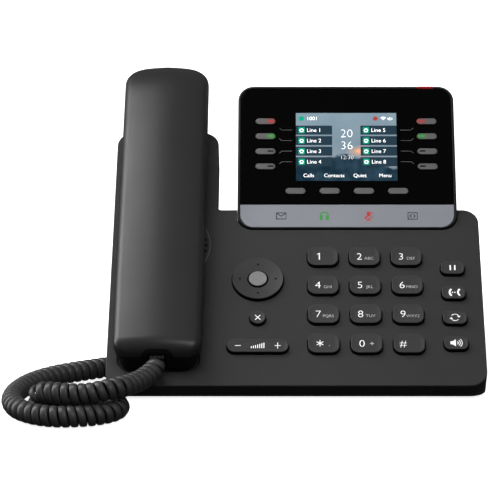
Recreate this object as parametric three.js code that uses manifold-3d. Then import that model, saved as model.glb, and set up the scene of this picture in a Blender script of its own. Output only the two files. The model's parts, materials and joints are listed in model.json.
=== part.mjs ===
// Desk IP phone: a sloped body with a dial pad and a handset bed, a tilting screen unit, a corded
// handset and a clip-on desk stand. Millimetres, +Z up, origin on the desk under the middle of
// the phone.
//
// Pieces of the body are drawn in its own frame (u, v, w): u to the right, v up the slope from
// the face's lower edge, w out of the face. The screen unit is drawn in the same way in (p, q, n),
// and the cord and the feet are drawn over the desk.

import * as THREE from 'three';
import { mergeVertices } from 'three/addons/utils/BufferGeometryUtils.js';
import Module from 'manifold-3d';

const wasm = await Module();
wasm.setup();

// ---------------------------------------------------------------- driving dimensions

const SLOPE = THREE.MathUtils.degToRad(38); // face of the body against the desk
const EDGE_HEIGHT = 9.4; // the face's lower edge above the desk
const MIDDLE_BACK = 82.5; // middle of the phone's depth behind that edge
const GAP = 0.3; // clearance between pieces that touch
const WALL = 2.2;
const ARC_STEP = THREE.MathUtils.degToRad(22.5);

const BODY_CORNERS = [ // u, v, corner radius
  [-102.9, 0, 9.5],
  [102.9, 0, 9.5],
  [102.9, 121.3, 9],
  [-44.4, 121.3, 2.5],
  [-44.4, 178.8, 9.5],
  [-102.9, 178.8, 9.5],
];
const PARTING = -8; // between the front and the rear shell
const REAR = -24; // rear face of the body
const FACET_START = -10; // the underside facet starts here on the front wall
const MIC = { u: 75.6, w: -5.7, hole: 0.8, radius: 2.6, length: 3.7 };

const KEY = { rise: 2.2, play: 0.45, rim: 1.1, bottom: -3.4, rimTop: -2.5 };
const ROCKING_KEY = { rise: 2.2, rim: 0.9, bottom: -3.9, rimTop: -3.2 };
const DIAL = { u: 14.9, v: 26.7, stepU: 23.22, stepV: 19.9, width: 17, height: 12.4, radius: 4.4 };
const SIDE_KEY = { u: 86.8, v: 27, stepV: 17.15, width: 12.9, height: 8.6, radius: 3.2 };
const RING = { u: -21.2, v: 71, radius: 14.1, hole: 5.5 };
const OK_RADIUS = 5.05;
const CANCEL = { u: -21.1, v: 44.2, radius: 4.3 };
const ROCKER = { u: -20.95, v: 25.2, width: 33.4, height: 8.6, radius: 4.2 };
const GRILLE = { u: -73.3, v: 95.7, radius: 24.6, rings: 3, pitch: 7, hole: 1.1 };

const HEAD = { u: 28.9, v: 107.4, w: 0.6, lean: THREE.MathUtils.degToRad(13.5) };
const HEAD_WIDTH = 124;
const HEAD_HEIGHT = 90.5;
const HEAD_CORNER = 9;
const BEZEL_BACK = -8.5;
const HEAD_BACK = -15;
const RIM = 1.5;
const HINGE = { v: 109.2, w: -5.75, pin: 1.2, knuckle: 2.7, boss: 3.4 };
const POCKET = { front: 106.1, undercut: 2, floor: -18.2, side: 0.5, back: 140, radius: 8.8 };
const BAR = { halfWidth: 60.5, low: 0.8, high: 14.9, radius: 8 };
const SCREEN = { halfWidth: 28.8, low: 30, high: 73.2 };
const PILL = { width: 11.7, height: 4.2, bottom: -3.3, rise: 0.4, play: 0.35 };
const LINE_KEYS = { p: 46.2, low: 38.8, step: 9.62, rows: 4 };
const SOFT_KEYS = { p: -29.1, step: 19.4, q: 23.3, count: 4 };
const LAMP = { left: 41, right: 50.3, depth: 5 };
const DISPLAY = { side: 4, below: 3, above: 4, back: -5.4, glassBack: -2.5, front: -0.35 };
const HEAD_BOARD = { across: [-55, 55], up: [8, 82], levels: [-7.6, -6] };

const KEYMAT = { across: [-40, 98], up: [12, 96], levels: [-5.9, -4.7] };
const BOARD = {
  across: [-42, 97],
  up: [7, 100],
  levels: [-7.8, -6.2],
  shield: { across: [40, 62], up: [70, 92], bottom: -10.3 }, // over the processor
  chip: { across: [-20, -8], up: [80, 88], bottom: -9.6 },
  connector: { across: [-36, -14], up: [14, 20], bottom: -11.5 }, // of the loudspeaker
};
const SPEAKER = { back: -17, magnet: 11.5, magnetTop: -9.5, basket: -5, front: -3, rim: 3, dome: 7 };

const HANDSET_U = -74.7;
const HANDSET_PARTING = 12.6;
const SHELL_WALL = 2;
const CUP_FLOOR = -0.9; // underside of the handset's two cups
const EAR = { low: 160, high: 208, middle: 188 };
const MOUTH = { low: 9.5, high: 58, middle: 34 };
const CRADLE = { depth: 1.25, halfWidth: 22.3 }; // shallow recesses for the cups
const RECEIVER = { bottom: 1.5, radius: 13, rimTop: 4, magnet: 8, top: 7.4 };
const CAPSULE = { bottom: 1.6, radius: 4, top: 4.6 };
const SOUND_HOLE = 0.9;
const HANDSET_SIDE = [ // v, w, corner radius
  [MOUTH.low, CUP_FLOOR, 3],
  [MOUTH.high, CUP_FLOOR, 5],
  [72, 7, 8],
  [146, 7, 8],
  [EAR.low, CUP_FLOOR, 5],
  [EAR.high, CUP_FLOOR, 8],
  [220.6, 6, 6],
  [219.6, 15, 5],
  [206, 22.2, 16],
  [MOUTH.low, 21.4, 4],
];
const HANDSET_SECTION = [ // across, w, corner radius
  [-21.2, -2, 2.5],
  [21.2, -2, 2.5],
  [23.75, 12.6, 8],
  [22.6, 20.4, 5],
  [0, 22, 110],
  [-22.6, 20.4, 5],
  [-23.75, 12.6, 8],
];
const HANDSET_PLAN = [ // across, v, corner radius
  [-23.1, MOUTH.low, 8],
  [23.1, MOUTH.low, 8],
  [23.75, 60, 0],
  [23.75, 217.4, 16],
  [0, 220.8, 60],
  [-23.75, 217.4, 16],
  [-23.75, 60, 0],
];
const HOOK = { v: 168, width: 9, height: 5, top: -1.2, bottom: -6.6, rim: 1.2 };

const PLUG = { halfWidth: 3.85, halfHeight: 3.25 };
const HANDSET_SOCKET = { w: 11.2, depth: 21.5, plugStart: 7.6, arch: 8.2, archTop: 18, archFoot: 3.5 };
const BASE_SOCKET = { u: -60, v: 58, halfBlock: 6.5, roof: -11.5, plugEnd: -33.5, plugTop: -13.5 };
const NETWORK = { u: 30, v: 52, pitch: 16.4, width: 11.8, height: 9.6, depth: 11, wall: 1.5, roof: -10.2 };
const STAND = { halfWidth: 62, low: 72, high: 106, plate: 3, leg: 3.6, rib: 3, back: 152, foot: 11 };
const STAND_FOOT = { halfWidth: 54, depth: 9, height: 1.8 };
const FRONT_FOOT = { halfWidth: 76, front: 12, back: 20, height: 1.2 };

const CORD_RADIUS = 5.6;
const LEAD_RADIUS = 2.1;
const LEAD_ROUTE = [ // right, back from the face's lower edge, up from the desk
  [-60, 66.9, 18],
  [-60, 72, 11.3],
  [-62.4, 75.6, 6.6],
  [-66.8, 74, 5],
  [-71, 68.6, 5.4],
  [-78, 62, 6],
];
const COIL_ROUTE = [
  [-75, 63.8, 6],
  [-84, 57.5, 6],
  [-96, 51, 6],
  [-108, 44.5, 6],
  [-120, 38, 6],
  [-131, 31, 6],
  [-140.5, 21.5, 6],
  [-147.3, 9.5, 6],
  [-150.9, -4, 6],
  [-150.9, -17, 6],
  [-146.4, -29.5, 6],
  [-138, -38.3, 6],
  [-127.5, -43, 6],
  [-116, -43.2, 6],
  [-104, -40, 6],
  [-95.6, -33, 6],
  [-94, -24, 6],
  [-101, -17.8, 6],
  [-110.5, -21.2, 6],
  [-119, -24.4, 6],
  [-127, -24.9, 6],
  [-133.2, -24.8, 7.3],
  [-136.2, -26.4, 11],
  [-133.6, -29.8, 14.7],
  [-127, -33.6, 15.9],
  [-118, -37, 16.2],
  [-109, -37.4, 16.6],
  [-100.5, -35.8, 17.8],
  [-92.5, -31, 18.2],
  [-86.5, -22.6, 17.6],
  [-82, -14.8, 17.6],
  [-77.9, -7.8, 18.8],
  [-75.2, -3.8, 20.7],
  [-74.7, -1.6, 22.3],
];

// ---------------------------------------------------------------- outlines

// Corners are [x, y, radius] in counter-clockwise order; the rounding is made of short chords.
function outline(corners) {
  const points = [];
  corners.forEach(([x, y, radius], i) => {
    const corner = new THREE.Vector2(x, y);
    const [before, after] = [corners.at(i - 1), corners[(i + 1) % corners.length]];
    const back = new THREE.Vector2(before[0], before[1]).sub(corner).normalize();
    const ahead = new THREE.Vector2(after[0], after[1]).sub(corner).normalize();
    const turn = Math.PI - Math.acos(THREE.MathUtils.clamp(back.dot(ahead), -1, 1));
    if (!radius || turn < 1e-3) {
      points.push(corner);
      return;
    }
    const start = corner.clone().addScaledVector(back, radius * Math.tan(turn / 2));
    const bend = Math.sign(ahead.cross(back)); // 1 on a left turn
    const centre = start.clone().add(new THREE.Vector2(back.y, -back.x).multiplyScalar(bend * radius));
    const steps = Math.max(2, Math.round(turn / ARC_STEP));
    for (let k = 0; k <= steps; k += 1) {
      points.push(start.clone().rotateAround(centre, (bend * turn * k) / steps));
    }
  });
  return new THREE.Shape(points);
}

// The same corners with every edge moved inwards.
function inset(corners, distance) {
  return corners.map(([x, y, radius], i) => {
    const corner = new THREE.Vector2(x, y);
    const [before, after] = [corners.at(i - 1), corners[(i + 1) % corners.length]];
    const arriving = corner.clone().sub(new THREE.Vector2(before[0], before[1])).normalize();
    const leaving = new THREE.Vector2(after[0], after[1]).sub(corner).normalize();
    const normals = [arriving, leaving].map((d) => new THREE.Vector2(-d.y, d.x));
    const scale = distance / (1 + normals[0].dot(normals[1]));
    const moved = corner.addScaledVector(normals[0], scale).addScaledVector(normals[1], scale);
    const convex = arriving.cross(leaving) > 0;
    return [moved.x, moved.y, radius && Math.max(radius + (convex ? -distance : distance), 0.3)];
  });
}

function rectangle(width, height, radius = 0, x = 0, y = 0) {
  const [a, b] = [width / 2, height / 2];
  return [[x - a, y - b, radius], [x + a, y - b, radius], [x + a, y + b, radius], [x - a, y + b, radius]];
}

function disc(radius, x = 0, y = 0, sides = 16) {
  return new THREE.Shape(Array.from({ length: sides }, (_, i) => {
    const angle = (2 * Math.PI * i) / sides;
    return new THREE.Vector2(x + radius * Math.cos(angle), y + radius * Math.sin(angle));
  }));
}

// A point over the desk, given in (v, w).
function overDesk(back, up) {
  const point = new THREE.Vector2(back, up - EDGE_HEIGHT);
  return point.rotateAround(new THREE.Vector2(), -SLOPE).toArray();
}

// ---------------------------------------------------------------- solids

function toManifold(geometry) {
  geometry.deleteAttribute('normal');
  geometry.deleteAttribute('uv');
  const merged = mergeVertices(geometry, 1e-4);
  const vertProperties = new Float32Array(merged.attributes.position.array);
  const triVerts = new Uint32Array(merged.index.array);
  return new wasm.Manifold(new wasm.Mesh({ numProp: 3, vertProperties, triVerts }));
}

function toGeometry(solid) {
  const { vertProperties, triVerts } = solid.getMesh();
  const geometry = new THREE.BufferGeometry();
  geometry.setAttribute('position', new THREE.BufferAttribute(vertProperties, 3));
  geometry.setIndex(new THREE.BufferAttribute(triVerts, 1));
  return geometry;
}

function extruded(shape, from, to, bevel = {}) {
  const plan = Array.isArray(shape) ? outline(shape) : shape;
  const options = { depth: to - from, bevelEnabled: false, ...bevel };
  return new THREE.ExtrudeGeometry(plan, options).translate(0, 0, from);
}

// A plan in (u, v) given a thickness along w.
function prism(shape, from, to) {
  return toManifold(extruded(shape, from, to));
}

// The same with a small chamfer round both ends.
function chamfered(shape, from, to, size) {
  const bevel = {
    bevelEnabled: true,
    bevelThickness: size,
    bevelSize: size,
    bevelOffset: -size,
    bevelSegments: 1,
  };
  return toManifold(extruded(shape, from + size, to - size, bevel));
}

// A side view in (v, w) given a width along u.
function sideways(shape, from, to) {
  const turn = new THREE.Matrix4().set(0, 0, 1, 0, 1, 0, 0, 0, 0, 1, 0, 0, 0, 0, 0, 1);
  return toManifold(extruded(shape, from, to).applyMatrix4(turn));
}

// A cross-section in (u, w) given a length along v.
function lengthways(shape, from, to) {
  return toManifold(extruded(shape, -to, -from).rotateX(Math.PI / 2));
}

// A profile of [radius, level] turned about w.
function turned(profile) {
  const points = profile.map(([radius, level]) => new THREE.Vector2(radius, level));
  return toManifold(new THREE.LatheGeometry(points, 24).rotateX(Math.PI / 2));
}

function block([x0, x1], [y0, y1], [z0, z1]) {
  return prism(rectangle(x1 - x0, y1 - y0, 0, (x0 + x1) / 2, (y0 + y1) / 2), z0, z1);
}

function joined(solids) {
  return solids.reduce((sum, solid) => sum.add(solid));
}

function cutBy(solid, cutters) {
  return cutters.reduce((rest, cutter) => rest.subtract(cutter), solid);
}

// ---------------------------------------------------------------- scene graph

const FINISH = {
  shell: { color: 0x2b2b2b, roughness: 0.55, metalness: 0 },
  key: { color: 0x303030, roughness: 0.5, metalness: 0 },
  rubber: { color: 0x151515, roughness: 0.9, metalness: 0 },
  cord: { color: 0x1f1f1f, roughness: 0.5, metalness: 0 },
  glass: { color: 0x050506, roughness: 0.12, metalness: 0 },
  silver: { color: 0x8f9299, roughness: 0.35, metalness: 0.4 },
  pill: { color: 0x6a6867, roughness: 0.45, metalness: 0 },
  screen: { color: 0x4a7aa0, roughness: 0.2, metalness: 0 },
  lamp: { color: 0x8a0d10, roughness: 0.3, metalness: 0 },
  board: { color: 0x1d5a32, roughness: 0.6, metalness: 0 },
  steel: { color: 0xb0b2b5, roughness: 0.3, metalness: 1 },
  clear: { color: 0xb9bcc0, roughness: 0.2, metalness: 0 },
};

const phone = new THREE.Group();
const body = new THREE.Group();
const head = new THREE.Group();
const handset = new THREE.Group();
const desk = new THREE.Group();
body.rotation.x = SLOPE;
body.position.set(0, -MIDDLE_BACK, EDGE_HEIGHT);
head.rotation.x = HEAD.lean;
head.position.set(HEAD.u, HEAD.v, HEAD.w);
handset.position.set(HANDSET_U, 0, 0);
desk.position.set(0, -MIDDLE_BACK, 0);
body.add(head, handset);
phone.add(body, desk);

function addPiece(group, name, finish, solid, place = [0, 0, 0]) {
  const mesh = new THREE.Mesh(toGeometry(solid), new THREE.MeshStandardMaterial(FINISH[finish]));
  mesh.name = name;
  mesh.position.set(...place);
  group.add(mesh);
}

// ---------------------------------------------------------------- keys of the body

const DIAL_ROWS = [['star', '0', 'hash'], ['7', '8', '9'], ['4', '5', '6'], ['1', '2', '3']];
const DIAL_KEYS = DIAL_ROWS.flatMap((row, j) => row.map((label, i) => ({
  name: `key_${label}`,
  place: [DIAL.u + i * DIAL.stepU, DIAL.v + j * DIAL.stepV, 0],
})));
const SIDE_KEYS = ['speaker_key', 'redial_key', 'transfer_key', 'hold_key'].map((name, j) => ({
  name,
  place: [SIDE_KEY.u, SIDE_KEY.v + j * SIDE_KEY.stepV, 0],
}));

// A cap that stands out of the face, with a rim behind the face that keeps it in.
function keySolid(shape, rimShape, key) {
  return chamfered(shape, key.bottom, key.rise, 0.5).add(prism(rimShape, key.bottom, key.rimTop));
}

function roundedKey({ width, height, radius }, key) {
  const rimShape = rectangle(width + 2 * key.rim, height + 2 * key.rim, radius + key.rim);
  return keySolid(rectangle(width, height, radius), rimShape, key);
}

function addBodyKeys() {
  DIAL_KEYS.forEach(({ name, place }) => addPiece(body, name, 'key', roundedKey(DIAL, KEY), place));
  SIDE_KEYS.forEach(({ name, place }) => addPiece(body, name, 'key', roundedKey(SIDE_KEY, KEY), place));
  const cancel = keySolid(disc(CANCEL.radius), disc(CANCEL.radius + KEY.rim), KEY);
  addPiece(body, 'cancel_key', 'key', cancel, [CANCEL.u, CANCEL.v, 0]);
  addPiece(body, 'volume_rocker', 'key', roundedKey(ROCKER, ROCKING_KEY), [ROCKER.u, ROCKER.v, 0]);
  const rimDisc = disc(RING.radius + ROCKING_KEY.rim, 0, 0, 32);
  const wheel = keySolid(disc(RING.radius, 0, 0, 32), rimDisc, ROCKING_KEY);
  const ring = wheel.subtract(prism(disc(RING.hole, 0, 0, 20), -9, 9));
  addPiece(body, 'nav_ring', 'key', ring, [RING.u, RING.v, 0]);
  const ok = chamfered(disc(OK_RADIUS, 0, 0, 20), KEY.bottom, KEY.rise - 0.2, 0.5);
  addPiece(body, 'ok_key', 'silver', ok, [RING.u, RING.v, 0]);
}

function keyApertures() {
  const through = (shape) => prism(shape, -6, 6);
  const wider = ({ width, height, radius }) => {
    return through(rectangle(width + 2 * KEY.play, height + 2 * KEY.play, radius + KEY.play));
  };
  return [
    ...DIAL_KEYS.map(({ place }) => wider(DIAL).translate(place)),
    ...SIDE_KEYS.map(({ place }) => wider(SIDE_KEY).translate(place)),
    wider(ROCKER).translate([ROCKER.u, ROCKER.v, 0]),
    through(disc(CANCEL.radius + KEY.play, CANCEL.u, CANCEL.v)),
    through(disc(RING.radius + KEY.play, RING.u, RING.v, 32)),
  ];
}

// ---------------------------------------------------------------- body shells

function bodyPlan(distance) {
  return inset(BODY_CORNERS, distance);
}

// The pocket for the screen unit's lower edge: it follows that edge in the face, and it is wider
// under the face, where the knuckles turn.
function pocket(grow) {
  const reach = HEAD_WIDTH / 2 + POCKET.side + grow;
  const across = [HEAD.u - reach, HEAD.u + reach];
  const { front, back, radius, undercut, floor } = POCKET;
  const plan = [[across[0], front - grow, radius], [across[1], front - grow, radius],
    [across[1], back, 0], [across[0], back, 0]];
  const upper = prism(plan, -WALL - 0.1, 9);
  return upper.add(block(across, [front - undercut - grow, back], [floor - grow, -WALL]));
}

// A rod on the hinge axis at one end of the screen unit, from inside its end to outside.
function hingeRod(side, radius, inside, outside) {
  const ends = [HEAD_WIDTH / 2 - inside, HEAD_WIDTH / 2 + outside].map((reach) => HEAD.u + side * reach);
  return sideways(disc(radius, HINGE.v, HINGE.w, 14), Math.min(...ends), Math.max(...ends));
}

function cradle(low, high) {
  const plan = rectangle(2 * CRADLE.halfWidth, high - low, 1.5, HANDSET_U, (low + high) / 2);
  return prism(plan, -CRADLE.depth, 9);
}

function grilleHoles() {
  const holes = [prism(disc(GRILLE.hole, GRILLE.u, GRILLE.v, 8), -6, 6)];
  for (let ring = 1; ring <= GRILLE.rings; ring += 1) {
    for (let i = 0; i < 6 * ring; i += 1) {
      const angle = (Math.PI * i) / (3 * ring);
      const [across, up] = [Math.cos(angle), Math.sin(angle)].map((part) => part * ring * GRILLE.pitch);
      holes.push(prism(disc(GRILLE.hole, GRILLE.u + across, GRILLE.v + up, 8), -6, 6));
    }
  }
  return holes;
}

function addFrontShell() {
  const outer = prism(bodyPlan(0), PARTING, 0);
  const hollow = prism(bodyPlan(WALL), PARTING - 1, -WALL);
  const bosses = joined([-1, 1].map((side) => hingeRod(side, HINGE.boss, -1, 6.5)));
  const inside = pocket(WALL).add(bosses).intersect(outer);
  const hookSlot = rectangle(HOOK.width + 0.8, HOOK.height + 0.8, 1.2, HANDSET_U, HOOK.v);
  const shell = cutBy(outer.subtract(hollow).add(inside), [
    pocket(0),
    ...keyApertures(),
    ...grilleHoles(),
    cradle(MOUTH.low - 1, MOUTH.high + 2),
    cradle(EAR.low - 2, EAR.high),
    prism(hookSlot, -6, 6),
    lengthways(disc(MIC.hole, MIC.u, MIC.w, 8), -1, WALL + 1),
    ...[-1, 1].map((side) => hingeRod(side, HINGE.pin + GAP, 1, 5)),
    ...[-1, 1].map((side) => hingeRod(side, HINGE.knuckle + GAP, 9, POCKET.side)),
  ]);
  addPiece(body, 'front_shell', 'shell', shell);
}

// What the underside facet cuts away: it runs parallel to the desk from the front wall.
function underFacet(distance) {
  const along = (reach) => new THREE.Vector2(reach, distance)
    .rotateAround(new THREE.Vector2(), -SLOPE)
    .add(new THREE.Vector2(0, FACET_START))
    .toArray();
  const [front, back] = [along(-10), along(60)];
  return sideways([[front[0], back[1]], back, front], -120, 120);
}

function socketBlock({ u, v, halfBlock, roof }) {
  return block([u - halfBlock, u + halfBlock], [v - halfBlock, v + halfBlock], [REAR, roof]);
}

function networkBlock(grow) {
  const { u, v, pitch, width, height, wall, roof } = NETWORK;
  const across = (pitch + width) / 2 + wall + grow;
  const up = height / 2 + wall + grow;
  return block([u - across, u + across], [v - up, v + up], [REAR - grow, roof]);
}

function addRearShell() {
  const outer = prism(bodyPlan(0), REAR, PARTING - GAP).subtract(underFacet(0));
  const hollow = prism(bodyPlan(WALL), REAR + WALL, 0).subtract(underFacet(WALL));
  const lined = outer.subtract(hollow).add(pocket(WALL).intersect(outer));
  const halfAperture = BASE_SOCKET.halfBlock + GAP;
  const shell = cutBy(lined, [
    pocket(0),
    networkBlock(GAP),
    socketBlock({ ...BASE_SOCKET, halfBlock: halfAperture }).translate([0, 0, -GAP]),
  ]);
  addPiece(body, 'rear_shell', 'shell', shell);
}

// ---------------------------------------------------------------- inside the body

function addBoards() {
  addPiece(body, 'keymat', 'rubber', block(KEYMAT.across, KEYMAT.up, KEYMAT.levels));
  const { across, up, levels, shield, chip, connector } = BOARD;
  const mounted = [shield, chip, connector].map((part) => {
    return block(part.across, part.up, [part.bottom, levels[0]]);
  });
  addPiece(body, 'main_board', 'board', joined([block(across, up, levels), ...mounted]));
}

function addLoudspeaker() {
  const { radius } = GRILLE;
  const { back, magnet, magnetTop, basket, front, rim, dome } = SPEAKER;
  const profile = [
    [0, back], [magnet, back], [magnet, magnetTop], [radius - rim, basket], [radius, basket],
    [radius, front], [radius - rim, front], [dome, basket - 1.4], [0, basket],
  ];
  addPiece(body, 'loudspeaker', 'rubber', turned(profile), [GRILLE.u, GRILLE.v, 0]);
  const inside = WALL + GAP;
  const capsule = lengthways(disc(MIC.radius, MIC.u, MIC.w, 12), inside, inside + MIC.length);
  addPiece(body, 'base_microphone', 'steel', capsule);
}

function addJacks() {
  const { u, v, pitch, width, height, depth } = NETWORK;
  const cavities = [-0.5, 0.5].map((side) => {
    const middle = u + side * pitch;
    const across = [middle - width / 2, middle + width / 2];
    return block(across, [v - height / 2, v + height / 2], [REAR - 1, REAR + depth]);
  });
  addPiece(body, 'network_jack', 'steel', cutBy(networkBlock(0), cavities));
  const play = { halfWidth: PLUG.halfWidth + GAP, halfHeight: PLUG.halfHeight + GAP };
  const hole = plugBar(play, REAR - 1, BASE_SOCKET.plugTop + GAP);
  addPiece(body, 'handset_jack', 'rubber', socketBlock(BASE_SOCKET).subtract(hole));
}

// The shank of a modular plug in the body's rear, along w.
function plugBar({ halfWidth, halfHeight }, from, to) {
  const { u, v } = BASE_SOCKET;
  return block([u - halfWidth, u + halfWidth], [v - halfHeight, v + halfHeight], [from, to]);
}

function addHingePins() {
  [['left', -1], ['right', 1]].forEach(([label, side]) => {
    addPiece(body, `hinge_pin_${label}`, 'steel', hingeRod(side, HINGE.pin, 6, 4.7));
  });
}

// ---------------------------------------------------------------- screen unit

function headPlan(distance) {
  return inset(rectangle(HEAD_WIDTH, HEAD_HEIGHT, HEAD_CORNER, 0, HEAD_HEIGHT / 2), distance);
}

function barPlan(distance) {
  const { halfWidth, low, high, radius } = BAR;
  return inset([[-halfWidth, low, radius], [halfWidth, low, radius], [halfWidth, high, 0],
    [-halfWidth, high, 0]], distance);
}

// The hinge axis as seen from the screen unit.
function knuckleRod(side, radius, inner, outer) {
  const offset = new THREE.Vector2(HINGE.v - HEAD.v, HINGE.w - HEAD.w);
  const axis = offset.rotateAround(new THREE.Vector2(), -HEAD.lean);
  const [from, to] = side < 0 ? [-outer, -inner] : [inner, outer];
  return sideways(disc(radius, axis.x, axis.y, 14), from, to);
}

function addHeadHousing() {
  const halfWidth = HEAD_WIDTH / 2;
  const knuckles = [-1, 1].map((side) => knuckleRod(side, HINGE.knuckle, halfWidth - 8, halfWidth));
  const frame = cutBy(prism(headPlan(0), BEZEL_BACK, 0), [
    prism(headPlan(RIM), -2.3, 1),
    prism(barPlan(0), -2.9, 1),
    prism(headPlan(3.6), BEZEL_BACK - 1, 1),
    block([LAMP.left - GAP, LAMP.right + GAP], [HEAD_HEIGHT - RIM, HEAD_HEIGHT + 1], [-LAMP.depth - GAP, 1]),
  ]);
  const bores = [-1, 1].map((side) => knuckleRod(side, HINGE.pin + GAP, halfWidth - 6.5, halfWidth + 1));
  addPiece(head, 'head_bezel', 'shell', cutBy(frame.add(joined(knuckles)), bores));
  const behindBezel = prism(headPlan(-1), HEAD_BACK - 1, BEZEL_BACK - GAP);
  const back = chamfered(headPlan(0), HEAD_BACK, -4, 1.6).intersect(behindBezel);
  const hollow = prism(headPlan(WALL), HEAD_BACK + WALL, 0);
  const clearance = knuckles.map((_, i) => knuckleRod(2 * i - 1, HINGE.knuckle + GAP, halfWidth - 8.4, 70));
  addPiece(head, 'head_rear_cover', 'shell', cutBy(back.subtract(hollow), clearance));
}

const LINE_KEY_PLACES = [-1, 1].flatMap((side) => Array.from({ length: LINE_KEYS.rows }, (_, j) => ({
  name: `line_key_${side < 0 ? 'left' : 'right'}_${LINE_KEYS.rows - j}`,
  place: [side * LINE_KEYS.p, LINE_KEYS.low + j * LINE_KEYS.step, 0],
})));
const SOFT_KEY_PLACES = Array.from({ length: SOFT_KEYS.count }, (_, i) => ({
  name: `soft_key_${i + 1}`,
  place: [SOFT_KEYS.p + i * SOFT_KEYS.step, SOFT_KEYS.q, 0],
}));

function addHeadKeys() {
  const pill = chamfered(rectangle(PILL.width, PILL.height, 2), PILL.bottom, PILL.rise, 0.3);
  [...LINE_KEY_PLACES, ...SOFT_KEY_PLACES].forEach(({ name, place }) => {
    addPiece(head, name, 'pill', pill, place);
  });
  addPiece(head, 'function_bar', 'silver', chamfered(barPlan(GAP), -2.2, -0.1, 0.3));
}

function addScreen() {
  const { halfWidth, low, high } = SCREEN;
  const plate = prism(headPlan(RIM + GAP), -2, -0.3)
    .intersect(block([-70, 70], [BAR.high + GAP, 100], [-3, 1]));
  const pillHole = prism(rectangle(PILL.width + 2 * PILL.play, PILL.height + 2 * PILL.play, 2.3), -3, 1);
  const holes = [...LINE_KEY_PLACES, ...SOFT_KEY_PLACES].map(({ place }) => pillHole.translate(place));
  const window = block([-halfWidth - GAP, halfWidth + GAP], [low - GAP, high + GAP], [-3, 1]);
  addPiece(head, 'screen_lens', 'glass', cutBy(plate, [window, ...holes]));
  const { side, below, above, back, glassBack, front } = DISPLAY;
  const panel = block([-halfWidth, halfWidth], [low, high], [glassBack - 0.1, front]);
  const frame = block([-halfWidth - side, halfWidth + side], [low - below, high + above], [back, glassBack]);
  addPiece(head, 'lcd_module', 'screen', panel.add(frame));
  const lampSpan = [HEAD_HEIGHT - RIM + 0.1, HEAD_HEIGHT];
  addPiece(head, 'message_lamp', 'lamp', block([LAMP.left, LAMP.right], lampSpan, [-LAMP.depth, -0.05]));
  addPiece(head, 'head_board', 'board', block(HEAD_BOARD.across, HEAD_BOARD.up, HEAD_BOARD.levels));
}

// ---------------------------------------------------------------- handset

function handsetForm(distance) {
  const side = sideways(inset(HANDSET_SIDE, distance), -30, 30);
  const section = lengthways(inset(HANDSET_SECTION, distance), 0, 230);
  const plan = prism(inset(HANDSET_PLAN, distance), -9, 30);
  return side.intersect(section).intersect(plan);
}

function soundHoles(middle, radius, count) {
  return Array.from({ length: count }, (_, i) => {
    const angle = (2 * Math.PI * i) / count;
    const [across, up] = [radius * Math.cos(angle), middle + radius * Math.sin(angle)];
    return prism(disc(SOUND_HOLE, across, up, 6), -9, 1.5);
  });
}

// The inner shell rises round the jack in an arch, and the outer shell is cut away for it.
function jackArch(grow) {
  const { arch, archTop, archFoot, depth } = HANDSET_SOCKET;
  const [side, top] = [arch + grow, archTop + grow];
  const section = [[-side, archFoot, 0], [side, archFoot, 0], [side, top, 5], [-side, top, 5]];
  return lengthways(section, 0, depth + SHELL_WALL + grow);
}

function addHandset() {
  const form = handsetForm(0);
  const walls = form.subtract(handsetForm(SHELL_WALL));
  const half = [-40, 40];
  const whole = [-9, 240];
  const above = block(half, whole, [HANDSET_PARTING + GAP / 2, 40]);
  const below = block(half, whole, [-20, HANDSET_PARTING - GAP / 2]);
  addPiece(handset, 'handset_outer_shell', 'shell', walls.intersect(above).subtract(jackArch(GAP)));
  const { w, depth, plugStart } = HANDSET_SOCKET;
  const [holeWidth, holeHeight] = [PLUG.halfWidth + GAP, PLUG.halfHeight + GAP];
  const plugHole = block([-holeWidth, holeWidth], [0, depth + GAP], [w - holeHeight, w + holeHeight]);
  const lower = walls.intersect(below).add(jackArch(0).intersect(form));
  const holes = [...soundHoles(EAR.middle, 6, 7), ...soundHoles(MOUTH.middle, 2.4, 3)];
  addPiece(handset, 'handset_inner_shell', 'shell', cutBy(lower, [plugHole, ...holes]));
  const shank = lengthways(rectangle(2 * PLUG.halfWidth, 2 * PLUG.halfHeight, 0, 0, w), plugStart, depth);
  addPiece(handset, 'handset_plug', 'clear', shank);
  const { bottom, radius, rimTop, magnet, top } = RECEIVER;
  const receiver = turned([[0, bottom], [radius, bottom], [radius, rimTop], [magnet, top], [0, top]]);
  addPiece(handset, 'receiver', 'steel', receiver, [0, EAR.middle, 0]);
  const capsule = prism(disc(CAPSULE.radius, 0, 0, 24), CAPSULE.bottom, CAPSULE.top);
  addPiece(handset, 'handset_microphone', 'steel', capsule, [0, MOUTH.middle, 0]);
}

function addHook() {
  const { v, width, height, top, bottom, rim } = HOOK;
  const post = chamfered(rectangle(width, height, 0.8), bottom, top, 0.3);
  const flange = prism(rectangle(width + 2 * rim, height + 2 * rim, 1.6), bottom, bottom + 1);
  addPiece(body, 'hook_plunger', 'key', post.add(flange), [HANDSET_U, v, 0]);
}

// ---------------------------------------------------------------- stand and feet

function addStand() {
  const { halfWidth, low, high, plate, leg, rib, back, foot } = STAND;
  const sole = STAND_FOOT.height;
  const face = REAR - GAP;
  const across = [-halfWidth, halfWidth];
  const plateSolid = block(across, [low, high], [face - plate, face]);
  const heel = overDesk(back, sole);
  const heelTop = overDesk(back, sole + leg);
  const toe = overDesk(back - foot, sole);
  const toeTop = overDesk(back - foot, sole + leg);
  const legSide = [[high - leg - 1, face - plate], heel, heelTop, [high, face]];
  const footSide = [toe, heel, heelTop, toeTop];
  const ribSide = [[low, face], toe, heel, [high, face]];
  const ribs = [-1, 1].map((side) => {
    const ends = [side * halfWidth, side * (halfWidth - rib)];
    return sideways(ribSide, Math.min(...ends), Math.max(...ends));
  });
  const stand = joined([plateSolid, sideways(legSide, ...across), sideways(footSide, ...across), ...ribs]);
  addPiece(body, 'desk_stand', 'shell', stand);
}

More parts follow.
